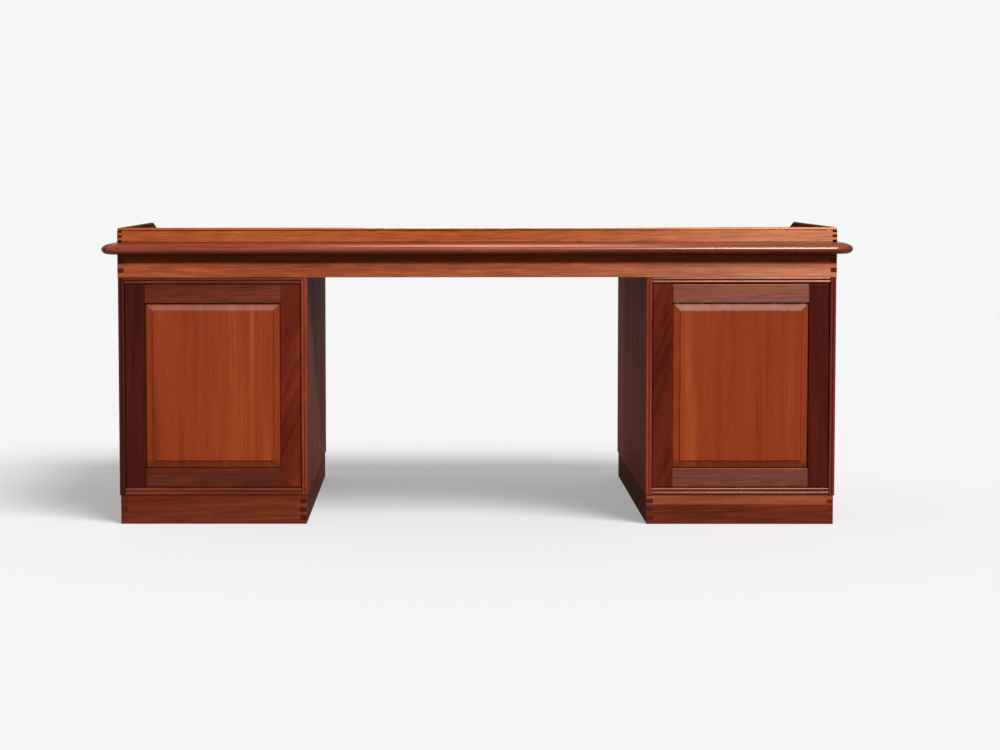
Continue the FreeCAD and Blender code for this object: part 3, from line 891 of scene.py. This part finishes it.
# Timbers of the desk
GALLERY_TIMBER = TimberFinish(
    "gallery_mahogany",
    Tones((150, 70, 34), (182, 92, 48), (206, 116, 68)),
    FLECKED_FIGURE,
    GALLERY_GLOSS,
)
# Gallery ends: a darker copy of the gallery timber, with still darker broad faces, as painted shade
GALLERY_END_TIMBER = TimberFinish(
    "gallery_end_mahogany",
    Tones((96, 38, 24), (122, 52, 34), (146, 70, 48)),
    gloss=DULL_GLOSS,
    face_tones=Tones((74, 27, 18), (98, 38, 27), (122, 54, 40)),
)
FRIEZE_TIMBER = TimberFinish(
    "frieze_mahogany",
    Tones((130, 58, 34), (160, 77, 46), (186, 98, 62)),
    FLECKED_FIGURE,
    FRIEZE_GLOSS,
)
NOSING_TIMBER = TimberFinish(
    "nosing_mahogany",
    Tones((124, 51, 32), (152, 67, 43), (178, 89, 61)),
    gloss=NOSING_GLOSS,
    end_grain=0.15,
)
# Nosing ends: a darker copy of the nosing timber, as painted shade on the tips of the nosing
NOSING_END_TIMBER = replace(
    NOSING_TIMBER,
    name="nosing_end_mahogany",
    tones=Tones((92, 36, 24), (117, 49, 33), (142, 66, 46)),
    gloss=replace(NOSING_GLOSS, specular=0.02),
)
OUTER_STILE_TIMBER = TimberFinish(
    "outer_stile_mahogany",
    Tones((60, 20, 15), (79, 27, 20), (99, 38, 29)),
    QUIET_FIGURE,
    UPRIGHT_GLOSS,
)
INNER_STILE_TIMBER = TimberFinish(
    "inner_stile_mahogany",
    Tones((82, 27, 18), (108, 37, 25), (134, 53, 35)),
    QUIET_FIGURE,
    UPRIGHT_GLOSS,
)
# Rails: painted light, the top rail above strip_level gets lighter tones than the bottom rail of the same
# node
RAIL_TIMBER = TimberFinish(
    "rail_mahogany",
    Tones((72, 28, 19), (92, 38, 27), (114, 52, 38)),
    QUIET_FLECKED_FIGURE,
    LEVEL_GLOSS,
    grime=0.5,
    strip_tones=Tones((86, 34, 24), (109, 46, 34), (134, 62, 47)),
    strip_level=0.35,
)
# Panels: painted shade, the bottom bevel below strip_level gets darker tones than the rest of the panel
PANEL_TIMBER = TimberFinish(
    "panel_mahogany",
    Tones((108, 41, 18), (128, 52, 25), (146, 67, 34)),
    RIBBON_FIGURE,
    PANEL_GLOSS,
    end_grain=0.3,
    strip_tones=Tones((128, 49, 20), (152, 61, 27), (173, 79, 38)),
    strip_level=0.1695,
)
PLINTH_TIMBER = TimberFinish(
    "plinth_mahogany",
    Tones((90, 34, 20), (116, 47, 29), (142, 64, 40)),
    PLINTH_FIGURE,
    PLINTH_GLOSS,
    end_grain=0.6,
)
OUTER_PLINTH_TIMBER = replace(PLINTH_TIMBER, name="outer_plinth_mahogany", end_grain=0.25, grime=0.5)
TWO_TONE_PLINTH_TIMBER = replace(
    PLINTH_TIMBER,
    name="two_tone_plinth_mahogany",
    tones=Tones((98, 38, 23), (124, 51, 32), (150, 67, 42)),
    strip_tones=Tones((138, 63, 38), (164, 83, 51), (188, 104, 68)),
    strip_level=0.052,
)
INNER_PLINTH_TIMBER = TimberFinish(
    "inner_plinth_mahogany",
    PLINTH_TIMBER.tones,
    gloss=DULL_GLOSS,
    end_grain=0.6,
    face_tones=Tones((92, 44, 32), (118, 58, 44), (142, 74, 58)),
)
# Inner case sides: painted light, the broad kneehole faces of the right pedestal get lighter tones than
# those of the left
INNER_CASE_TIMBERS = {
    side: TimberFinish(
        f"{side.label}_inner_case_mahogany",
        Tones((140, 57, 35), (169, 73, 46), (193, 94, 64)),
        GLUED_FIGURE,
        DULL_GLOSS,
        grime=0.6,
        face_tones=face_tones,
    )
    for side, face_tones in (
        (Side.LEFT, Tones((128, 60, 44), (154, 78, 58), (176, 98, 76))),
        (Side.RIGHT, Tones((149, 66, 48), (179, 85, 63), (200, 106, 82))),
    )
}
# Outer case sides: painted shade, the front edges of the left pedestal get darker tones than those of the
# right
OUTER_CASE_TIMBERS = {
    side: TimberFinish(
        f"{side.label}_outer_case_mahogany",
        edge_tones_with_painted_light,
        GLUED_FIGURE,
        OUTER_REED_GLOSS,
        face_tones=Tones((112, 44, 24), (136, 57, 32), (158, 74, 44)),
    )
    for side, edge_tones_with_painted_light in (
        (Side.LEFT, Tones((58, 20, 14), (80, 29, 22), (104, 42, 32))),
        (Side.RIGHT, Tones((92, 35, 25), (122, 50, 38), (150, 67, 53))),
    )
}
CASE_TIMBER = TimberFinish(
    "case_mahogany", Tones((90, 35, 23), (116, 48, 33), (142, 65, 46)), gloss=LOW_REED_GLOSS
)
CASE_TOP_TIMBER = TimberFinish(
    "case_top_mahogany", Tones((80, 31, 20), (104, 43, 29), (128, 58, 41)), gloss=REED_GLOSS
)
TOP_TIMBER = TimberFinish(
    "top_mahogany", Tones((122, 53, 30), (148, 68, 40), (172, 88, 54)), TOP_FIGURE, TOP_GLOSS
)
DRAWER_TIMBER = TimberFinish(
    "drawer_mahogany", Tones((106, 42, 23), (132, 56, 31), (156, 74, 43)), gloss=LEVEL_GLOSS
)
BEECH_TIMBER = TimberFinish(
    "beech",
    Tones((194, 147, 108), (214, 171, 131), (228, 191, 153)),
    BEECH_FIGURE,
    BEECH_GLOSS,
    end_grain=0.5,
    end_grain_colour=(222, 200, 180),
    grime_colour=(150, 110, 80),
    rub_colour=(226, 196, 156),
)

# Metals and plastic of the fittings
BRASS = MetalFinish("brass", clean=(190, 152, 84), tarnished=(146, 108, 56), roughness=0.28)
DARK_BRASS = MetalFinish("darkened_brass", clean=(96, 68, 38), tarnished=(58, 40, 26), roughness=0.45)
STEEL = MetalFinish("steel", clean=(176, 176, 172), tarnished=(140, 138, 134), roughness=0.32)
LATCH_PLASTIC = PlasticFinish("latch_plastic", colour=(46, 40, 37))


@dataclass
class TopUnit:
    """Writing panel, moulded nosing, gallery, frieze and what holds them to the pedestals."""

    easing: float = 0.5
    fine_easing: float = 0.3

    def boards(self) -> Iterator[Board]:
        """Lists the boards of the unit.

        Returns:
            Every board with its finish, one by one.
        """
        yield Board("top_panel", TOP_TIMBER, Axis.X, easing=self.fine_easing, staves_across=Axis.Y)
        for end in ("visitor", "user"):
            yield Board(f"nosing_{end}", NOSING_TIMBER, Axis.X, easing=self.fine_easing, moulded=True)
            yield Board(f"frieze_{end}", FRIEZE_TIMBER, Axis.X, easing=self.easing)
        for side in Side:
            yield Board(f"frieze_{side.label}", FRIEZE_TIMBER, Axis.Y, easing=self.easing)
            for strip, finish in (("nosing", NOSING_END_TIMBER), ("gallery", GALLERY_END_TIMBER)):
                node = f"{strip}_{side.label}"
                yield Board(node, finish, Axis.Y, easing=self.fine_easing, moulded=True)
        yield Board("gallery_visitor", GALLERY_TIMBER, Axis.X, easing=self.fine_easing, moulded=True)
        yield Board("cross_bearers", BEECH_TIMBER, Axis.Y)
        yield Board("locating_tenons", BEECH_TIMBER, Axis.Z)

    def dress(self) -> None:
        """Finishes every board of the unit."""
        for board in self.boards():
            board.dress()


@dataclass
class Pedestal:
    """Plinth and case of one pedestal."""

    side: Side
    easing: float = 0.5
    figured_lean: float = 1.5

    def boards(self) -> Iterator[Board]:
        """Lists the boards of the pedestal.

        Returns:
            Every board with its finish, one by one.
        """
        front_plinth = TWO_TONE_PLINTH_TIMBER if self.side is Side.RIGHT else PLINTH_TIMBER
        plinth = f"plinth_{self.side.label}"
        yield Board(f"{plinth}_visitor", front_plinth, Axis.X, lean=self.figured_lean, easing=self.easing)
        yield Board(f"{plinth}_user", PLINTH_TIMBER, Axis.X, easing=self.easing)
        yield Board(f"{plinth}_inner", INNER_PLINTH_TIMBER, Axis.Y, easing=self.easing)
        yield Board(f"{plinth}_outer", OUTER_PLINTH_TIMBER, Axis.Y, easing=self.easing)
        case = f"case_{self.side.label}"
        for place, finishes in (("inner", INNER_CASE_TIMBERS), ("outer", OUTER_CASE_TIMBERS)):
            yield Board(
                f"{case}_{place}_side",
                finishes[self.side],
                Axis.Z,
                easing=self.easing,
                staves_across=Axis.Y,
                moulded=True,
            )
        for place, finish in (("bottom", CASE_TIMBER), ("top", CASE_TOP_TIMBER)):
            yield Board(f"{case}_{place}_board", finish, Axis.X, easing=self.easing, moulded=True)
        yield Board(f"{case}_divider", CASE_TIMBER, Axis.Z, easing=self.easing)

    def dress(self) -> None:
        """Finishes every board of the pedestal."""
        for board in self.boards():
            board.dress()


@dataclass
class Door:
    """One panelled door with its pivots and strike."""

    side: Side
    easing: float = 1.6
    panel_easing: float = 0.4
    stile_lean: float = -22.0
    rail_lean: float = 2.0

    def boards(self) -> Iterator[Board]:
        """Lists the boards of the door.

        Returns:
            Every board with its finish, one by one.
        """
        door = f"door_{self.side.label}"
        opening_stile = f"{door}_opening_stile"
        yield Board(f"{door}_hinge_stile", OUTER_STILE_TIMBER, Axis.Z, easing=self.easing)
        yield Board(opening_stile, INNER_STILE_TIMBER, Axis.Z, lean=self.stile_lean, easing=self.easing)
        yield Board(f"{door}_rails", RAIL_TIMBER, Axis.X, lean=self.rail_lean, easing=self.easing)
        yield Board(f"{door}_panel", PANEL_TIMBER, Axis.Z, easing=self.panel_easing)

    def dress(self, metal: bpy.types.Material) -> None:
        """Finishes the boards and the fittings of the door.

        Args:
            metal: Material of the fittings.
        """
        for board in self.boards():
            board.dress()
        fittings = f"door_{self.side.label}_fittings"
        wear(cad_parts[fittings], metal)
        LOG.info("fittings %s: %s", fittings, metal.name)


@dataclass
class Drawer:
    """One drawer: a mahogany front with a scooped grip, and a beech box."""

    side: Side
    level: DrawerLevel
    easing: float = 0.6
    front_lean: float = 1.5

    def dress(self) -> None:
        """Finishes the front and the box."""
        drawer = f"drawer_{self.side.label}_{self.level.value}"
        Board(f"{drawer}_front", DRAWER_TIMBER, Axis.X, lean=self.front_lean, easing=self.easing).dress()
        DrawerBox(f"{drawer}_box", BEECH_TIMBER, Axis.Y, easing=self.easing).dress()


@dataclass(frozen=True)
class ScrewHead:
    """A slotted round-head screw, in metres."""

    radius: float = 0.0035
    dome: float = 0.0018
    slot_width: float = 0.0011
    slot_floor: float = 0.0007
    segments: int = 28
    rings: int = 10

    def mesh(self) -> bpy.types.Mesh:
        """Shapes the head.

        Returns:
            The head on the XY plane with its dome towards +Z.
        """
        shape = bmesh.new()
        flatten = Matrix.Diagonal((1.0, 1.0, self.dome / self.radius, 1.0))
        bmesh.ops.create_uvsphere(
            shape, u_segments=self.segments, v_segments=self.rings, radius=self.radius, matrix=flatten
        )
        self._keep(shape, Vector(), Axis.Z.unit)
        self._keep(shape, Axis.X.unit * self.slot_width / 2, Axis.X.unit)
        twin = bmesh.ops.duplicate(shape, geom=shape.verts[:] + shape.edges[:] + shape.faces[:])
        twin_points = [part for part in twin["geom"] if isinstance(part, bmesh.types.BMVert)]
        half_turn = Matrix.Rotation(math.pi, 3, "Z")
        bmesh.ops.rotate(shape, verts=twin_points, cent=Vector(), matrix=half_turn)
        slot_length = 2 * math.sqrt(self.radius ** 2 - self.slot_width ** 2)
        floor = Matrix.Diagonal((self.slot_width, slot_length, self.slot_floor, 1.0))
        lift = Matrix.Translation(Axis.Z.unit * self.slot_floor / 2)
        bmesh.ops.create_cube(shape, size=1.0, matrix=lift @ floor)
        mesh = bpy.data.meshes.new("screw_head")
        shape.to_mesh(mesh)
        shape.free()
        return mesh

    def _keep(self, shape: bmesh.types.BMesh, place: Vector, towards: Vector) -> None:
        """Cuts the shape and closes the cut.

        Args:
            shape: The shape.
            place: A point of the cut.
            towards: Direction of the side that is kept.
        """
        everything = shape.verts[:] + shape.edges[:] + shape.faces[:]
        bmesh.ops.bisect_plane(shape, geom=everything, plane_co=place, plane_no=towards, clear_inner=True)
        open_edges = [edge for edge in shape.edges if edge.is_boundary]
        bmesh.ops.holes_fill(shape, edges=open_edges)


@dataclass
class InnerFittings:
    """Shelves, cleats, runners and touch latches inside the pedestals, and the screws that hold them."""

    easing: float = 0.6
    opening_inner: float = 0.4695
    opening_outer: float = 0.9435
    cleat_width: float = 0.015
    cleat_screw: ScrewHead = ScrewHead()
    screw_from_cleat_end: float = 0.05
    latch_middle: float = 0.498
    latch_screw: ScrewHead = ScrewHead(radius=0.0026, dome=0.0014)
    latch_screw_offset: float = 0.0072
    latch_screw_from_end: float = 0.012

    def dress(
        self, brass: bpy.types.Material, steel: bpy.types.Material, plastic: bpy.types.Material
    ) -> None:
        """Finishes the boards, the latch cases and the plungers, and drives the screws.

        Args:
            brass: Material of the screws.
            steel: Material of the plungers.
            plastic: Material of the latch cases.
        """
        Board("shelves", CASE_TIMBER, Axis.X, easing=self.easing).dress()
        Board("shelf_cleats", CASE_TIMBER, Axis.Y, easing=self.easing).dress()
        Board("drawer_runners", BEECH_TIMBER, Axis.Y, easing=self.easing).dress()
        latch_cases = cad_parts["latch_cases"]
        wear(latch_cases, plastic)
        ease_edges(latch_cases, self.easing * MILLIMETRE)
        LOG.info("fittings latch_cases: %s", plastic.name)
        for side in Side:
            plunger = f"latch_{side.label}_plunger"
            wear(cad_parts[plunger], steel)
            LOG.info("fittings %s: %s", plunger, steel.name)
        self._drive("shelf_cleat_screws", self.cleat_screw, self.cleat_screws(), brass)
        self._drive("latch_case_screws", self.latch_screw, self.latch_screws(), brass)

    def cleat_screws(self) -> Iterator[tuple[Vector, Vector]]:
        """Spaces two screws on the inward face of each cleat.

        Returns:
            Place and outward direction of each screw, one by one.
        """
        low, high = node_box("shelf_cleats")
        level = (low.z + high.z) / 2
        ends = (low.y + self.screw_from_cleat_end, high.y - self.screw_from_cleat_end)
        faces = ((self.opening_inner + self.cleat_width, 1), (self.opening_outer - self.cleat_width, -1))
        for side in Side:
            for face, outlook in faces:
                for end in ends:
                    yield Vector((side.value * face, end, level)), Axis.X.unit * side.value * outlook

    def latch_screws(self) -> Iterator[tuple[Vector, Vector]]:
        """Spaces two screws under each latch case, clear of its plunger.

        Returns:
            Place and outward direction of each screw, one by one.
        """
        low, high = node_box("latch_cases")
        spots = (
            (-self.latch_screw_offset, low.y + self.latch_screw_from_end),
            (self.latch_screw_offset, high.y - self.latch_screw_from_end),
        )
        for side in Side:
            for offset, end in spots:
                yield Vector((side.value * self.latch_middle + offset, end, low.z)), -Axis.Z.unit

    def _drive(
        self,
        name: str,
        head: ScrewHead,
        spots: Iterator[tuple[Vector, Vector]],
        metal: bpy.types.Material,
    ) -> None:
        """Makes one piece of all the screws of a kind.

        Args:
            name: Name of the new piece.
            head: Size of the screw heads.
            spots: Place and outward direction of each head.
            metal: Material of the screws.
        """
        draw = random.Random(name)
        pattern = head.mesh()
        screws = bmesh.new()
        for place, outward in spots:
            turn = outward.to_track_quat("Z", "Y").to_matrix().to_4x4()
            slot = Matrix.Rotation(draw.uniform(0.0, math.pi), 4, "Z")
            driven = Matrix.Translation(place) @ turn @ slot
            known = len(screws.verts)
            screws.from_mesh(pattern)
            screws.verts.ensure_lookup_table()
            bmesh.ops.transform(screws, matrix=driven, verts=screws.verts[known:])
        mesh = bpy.data.meshes.new(name)
        screws.to_mesh(mesh)
        screws.free()
        bpy.data.meshes.remove(pattern)
        piece = bpy.data.objects.new(name, mesh)
        bpy.context.scene.collection.objects.link(piece)
        wear(piece, metal)
        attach(piece, DESK_BODY)
        LOG.info("piece %s: %s", name, metal.name)


def node_box(name: str) -> tuple[Vector, Vector]:
    """Finds the box round a CAD node.

    Args:
        name: Name of the node.

    Returns:
        Its low and high corner in the desk's frame.
    """
    corners = [Vector(corner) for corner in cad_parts[name].bound_box]
    low = Vector([min(corner[axis.value] for corner in corners) for axis in Axis])
    high = Vector([max(corner[axis.value] for corner in corners) for axis in Axis])
    return low, high


def visitor_front() -> tuple[str, ...]:
    """Lists the boards on the visitor's side that the front card shows in.

    Returns:
        Names of their nodes.
    """
    names = ["nosing_visitor", "gallery_visitor", "frieze_visitor"]
    for side in Side:
        case_boards = ("inner_side", "top_board", "bottom_board")
        door_boards = ("hinge_stile", "opening_stile", "rails", "panel")
        names.append(f"plinth_{side.label}_visitor")
        names.extend(f"case_{side.label}_{board}" for board in case_boards)
        names.extend(f"door_{side.label}_{board}" for board in door_boards)
    return tuple(names)


@dataclass(frozen=True)
class ReflectedCard:
    """A bright card that shows in the polish of some nodes and lights nothing else."""

    name: str
    place: tuple[float, float, float]
    target: tuple[float, float, float]
    size: tuple[float, float]
    power: float
    shows_in: tuple[str, ...]
    colour: tuple[float, float, float] = (1.0, 1.0, 1.0)

    def build(self) -> None:
        """Hangs the card."""
        lamp = bpy.data.lights.new(self.name, "AREA")
        lamp.shape = "RECTANGLE"
        lamp.size, lamp.size_y = self.size
        lamp.energy = self.power
        lamp.color = self.colour
        card = bpy.data.objects.new(self.name, lamp)
        card.location = self.place
        card.rotation_mode = "QUATERNION"
        away = Vector(self.place) - Vector(self.target)
        card.rotation_quaternion = away.to_track_quat("Z", "Y")
        card.visible_camera = False
        card.visible_diffuse = False
        bpy.context.scene.collection.objects.link(card)
        receivers = bpy.data.collections.new(f"{self.name}_receivers")
        for name in self.shows_in:
            receivers.objects.link(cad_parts[name])
        card.light_linking.receiver_collection = receivers


@dataclass(frozen=True)
class Sun:
    """A soft distant lamp that lights the desk or the floor."""

    name: str
    azimuth: float
    elevation: float
    strength: float
    angle: float

    def level(self) -> float:
        """Light that a level surface gets, where 1 renders a colour as it is written."""
        return self.strength * math.sin(math.radians(self.elevation)) / math.pi

    def build(self, floor: bpy.types.Object, floor_state: str) -> None:
        """Hangs the lamp.

        Args:
            floor: The floor.
            floor_state: INCLUDE to light the floor alone, EXCLUDE to light all but the floor.
        """
        lamp = bpy.data.lights.new(self.name, "SUN")
        lamp.energy = self.strength
        lamp.angle = math.radians(self.angle)
        sun = bpy.data.objects.new(self.name, lamp)
        from_overhead = math.radians(RIGHT_ANGLE - self.elevation)
        sun.rotation_euler = Euler((from_overhead, 0.0, math.radians(self.azimuth)))
        bpy.context.scene.collection.objects.link(sun)
        receivers = bpy.data.collections.new(f"{self.name}_receivers")
        receivers.objects.link(floor)
        receivers.collection_objects[0].light_linking.link_state = floor_state
        sun.light_linking.receiver_collection = receivers


@dataclass(frozen=True)
class Studio:
    """Pale floor, white surroundings, a soft lamp for the desk, another for the floor, and cards."""

    floor_half_width: float = 60.0
    floor_bounce: Colour = (72, 70, 68)
    floor_lift: float = 0.35
    surround: Colour = (246, 246, 246)
    fill_from_front: float = 0.13
    fill_from_back: float = 0.6
    key: Sun = Sun("key", azimuth=12.0, elevation=36.3, strength=2.9, angle=8.0)
    floor_key: Sun = Sun("floor_key", azimuth=45.0, elevation=50.0, strength=4.0, angle=34.0)
    cards: tuple[ReflectedCard, ...] = (
        ReflectedCard(
            "front_card",
            place=(1.2, -1.9, 2.1),
            target=(0.7, -0.46, 0.7),
            size=(0.8, 0.4),
            power=500.0,
            shows_in=visitor_front(),
        ),
        ReflectedCard(
            "nosing_card",
            place=(0.1, 0.5, 3.0),
            target=(0.1, -0.46, 0.75),
            size=(1.0, 0.3),
            power=110.0,
            shows_in=("nosing_visitor",),
            colour=(1.0, 0.66, 0.54),
        ),
        ReflectedCard(
            "bead_card",
            place=(0.15, 0.5, 3.0),
            target=(0.15, -0.46, 0.79),
            size=(1.0, 0.4),
            power=800.0,
            shows_in=("gallery_visitor",),
            colour=(0.7, 0.9, 1.0),
        ),
        ReflectedCard(
            "bevel_card",
            place=(0.75, -4.0, 2.1),
            target=(0.2, -0.46, 0.6),
            size=(1.2, 0.3),
            power=250.0,
            shows_in=("door_left_panel", "door_right_panel"),
        ),
    )

    def build(self) -> None:
        """Makes the floor, the world and the lamps."""
        floor = self._floor()
        self._world()
        self.key.build(floor, "EXCLUDE")
        self.floor_key.build(floor, "INCLUDE")
        for card in self.cards:
            card.build()
        LOG.info("studio: floor, world, two lamps and %d cards", len(self.cards))

    def open_floor_light(self) -> float:
        """Light that falls on the open floor, where 1 renders a colour as it is written."""
        return self.floor_key.level() + (self.fill_from_front + self.fill_from_back) / 2

    def _seen_directly(self, sheet: NodeSheet) -> Socket:
        """Tells the rays that see a surface from the rays that light others by it.

        Args:
            sheet: Node tree of the floor or the world.

        Returns:
            1 for camera, glossy and transmission rays, and 0 for diffuse ones.
        """
        path = sheet.add("ShaderNodeLightPath")
        first = sheet.maths("MAXIMUM", path.outputs["Is Camera Ray"], path.outputs["Is Glossy Ray"])
        return sheet.maths("MAXIMUM", first, path.outputs["Is Transmission Ray"])

    def _floor(self) -> bpy.types.Object:
        """Lays a pale floor that meets the surround's white and sends little light back.

        Returns:
            The floor, which keeps the desk's shadow.
        """
        half = self.floor_half_width
        mesh = bpy.data.meshes.new("floor")
        corners = [(-half, -half, 0.0), (half, -half, 0.0), (half, half, 0.0), (-half, half, 0.0)]
        mesh.from_pydata(corners, [], [(0, 1, 2, 3)])
        floor = bpy.data.objects.new("floor", mesh)
        bpy.context.scene.collection.objects.link(floor)
        sheet = NodeSheet(bpy.data.materials.new("floor"))
        seen = self._seen_directly(sheet)
        white = linear(self.surround)
        paint_colour = [channel / self.open_floor_light() for channel in white[:3]] + [1.0]
        paint = sheet.add("ShaderNodeBsdfDiffuse")
        sheet.feed(paint.inputs["Color"], sheet.blend(seen, linear(self.floor_bounce), paint_colour))
        glow = sheet.add("ShaderNodeEmission")
        glow.inputs["Color"].default_value = white
        both = sheet.add("ShaderNodeMixShader")
        sheet.feed(both.inputs[0], sheet.maths("MULTIPLY", seen, self.floor_lift))
        sheet.feed(both.inputs[1], paint.outputs[0])
        sheet.feed(both.inputs[2], glow.outputs[0])
        wear(floor, sheet.surface(both))
        return floor

    def _world(self) -> None:
        """Makes a world that is white where it is seen, and elsewhere fills light, more from the back."""
        world = bpy.data.worlds.new("studio")
        bpy.context.scene.world = world
        sheet = NodeSheet(world)
        direction = sheet.add("ShaderNodeTexCoord").outputs["Generated"]
        backward = sheet.component(direction, Axis.Y)
        fill = sheet.add("ShaderNodeBackground")
        fill.inputs["Color"].default_value = WHITE
        strength = sheet.remap(backward, -1.0, 1.0, self.fill_from_front, self.fill_from_back)
        sheet.feed(fill.inputs["Strength"], strength)
        white = sheet.add("ShaderNodeBackground")
        white.inputs["Color"].default_value = linear(self.surround)
        both = sheet.add("ShaderNodeMixShader")
        sheet.feed(both.inputs[0], self._seen_directly(sheet))
        sheet.feed(both.inputs[1], fill.outputs[0])
        sheet.feed(both.inputs[2], white.outputs[0])
        sheet.surface(both, "ShaderNodeOutputWorld")


@dataclass(frozen=True)
class PhotoCamera:
    """The photograph's camera, found from the desk's corners in its 1000 by 750 frame."""

    image_width: int = 1000
    image_height: int = 750
    focal_pixels: float = 2130.92
    centre_x: float = 420.78
    centre_y: float = 300.75
    place: tuple[float, float, float] = (-0.09365, -6.14302, 0.93640)
    pitch_down: float = 0.05887
    yaw_right: float = -0.00973
    roll: float = 0.00133

    def build(self) -> None:
        """Makes the camera and gives it to the scene."""
        data = bpy.data.cameras.new("photo_camera")
        data.lens = self.focal_pixels / self.image_width * data.sensor_width
        data.shift_x = (self.image_width / 2 - self.centre_x) / self.image_width
        data.shift_y = (self.centre_y - self.image_height / 2) / self.image_width
        camera = bpy.data.objects.new("photo_camera", data)
        camera.matrix_world = self._matrix()
        bpy.context.scene.collection.objects.link(camera)
        bpy.context.scene.camera = camera
        LOG.info("camera: %.1f mm lens", data.lens)

    def _matrix(self) -> Matrix:
        """Works out how the camera stands.

        Returns:
            Its place and turn in the desk's frame.
        """
        forward = Vector((
            math.sin(self.yaw_right) * math.cos(self.pitch_down),
            math.cos(self.yaw_right) * math.cos(self.pitch_down),
            -math.sin(self.pitch_down),
        ))
        level = Vector((math.cos(self.yaw_right), -math.sin(self.yaw_right), 0.0))
        down = forward.cross(level)
        right = level * math.cos(self.roll) + down * math.sin(self.roll)
        up = level * math.sin(self.roll) - down * math.cos(self.roll)
        turn = Matrix((right, up, -forward)).transposed().to_4x4()
        return Matrix.Translation(self.place) @ turn


def main() -> None:
    """Builds the studio and dresses the desk, sub-assembly by sub-assembly."""
    logging.basicConfig(level=logging.INFO, format="%(message)s")
    bpy.context.scene.view_settings.view_transform = "Standard"
    PhotoCamera().build()
    Studio().build()
    TopUnit().dress()
    dark_brass = DARK_BRASS.material()
    for side in Side:
        Pedestal(side).dress()
        Door(side).dress(dark_brass)
        for level in DrawerLevel:
            Drawer(side, level).dress()
    InnerFittings().dress(BRASS.material(), STEEL.material(), LATCH_PLASTIC.material())


if __name__ == "__main__":
    main()
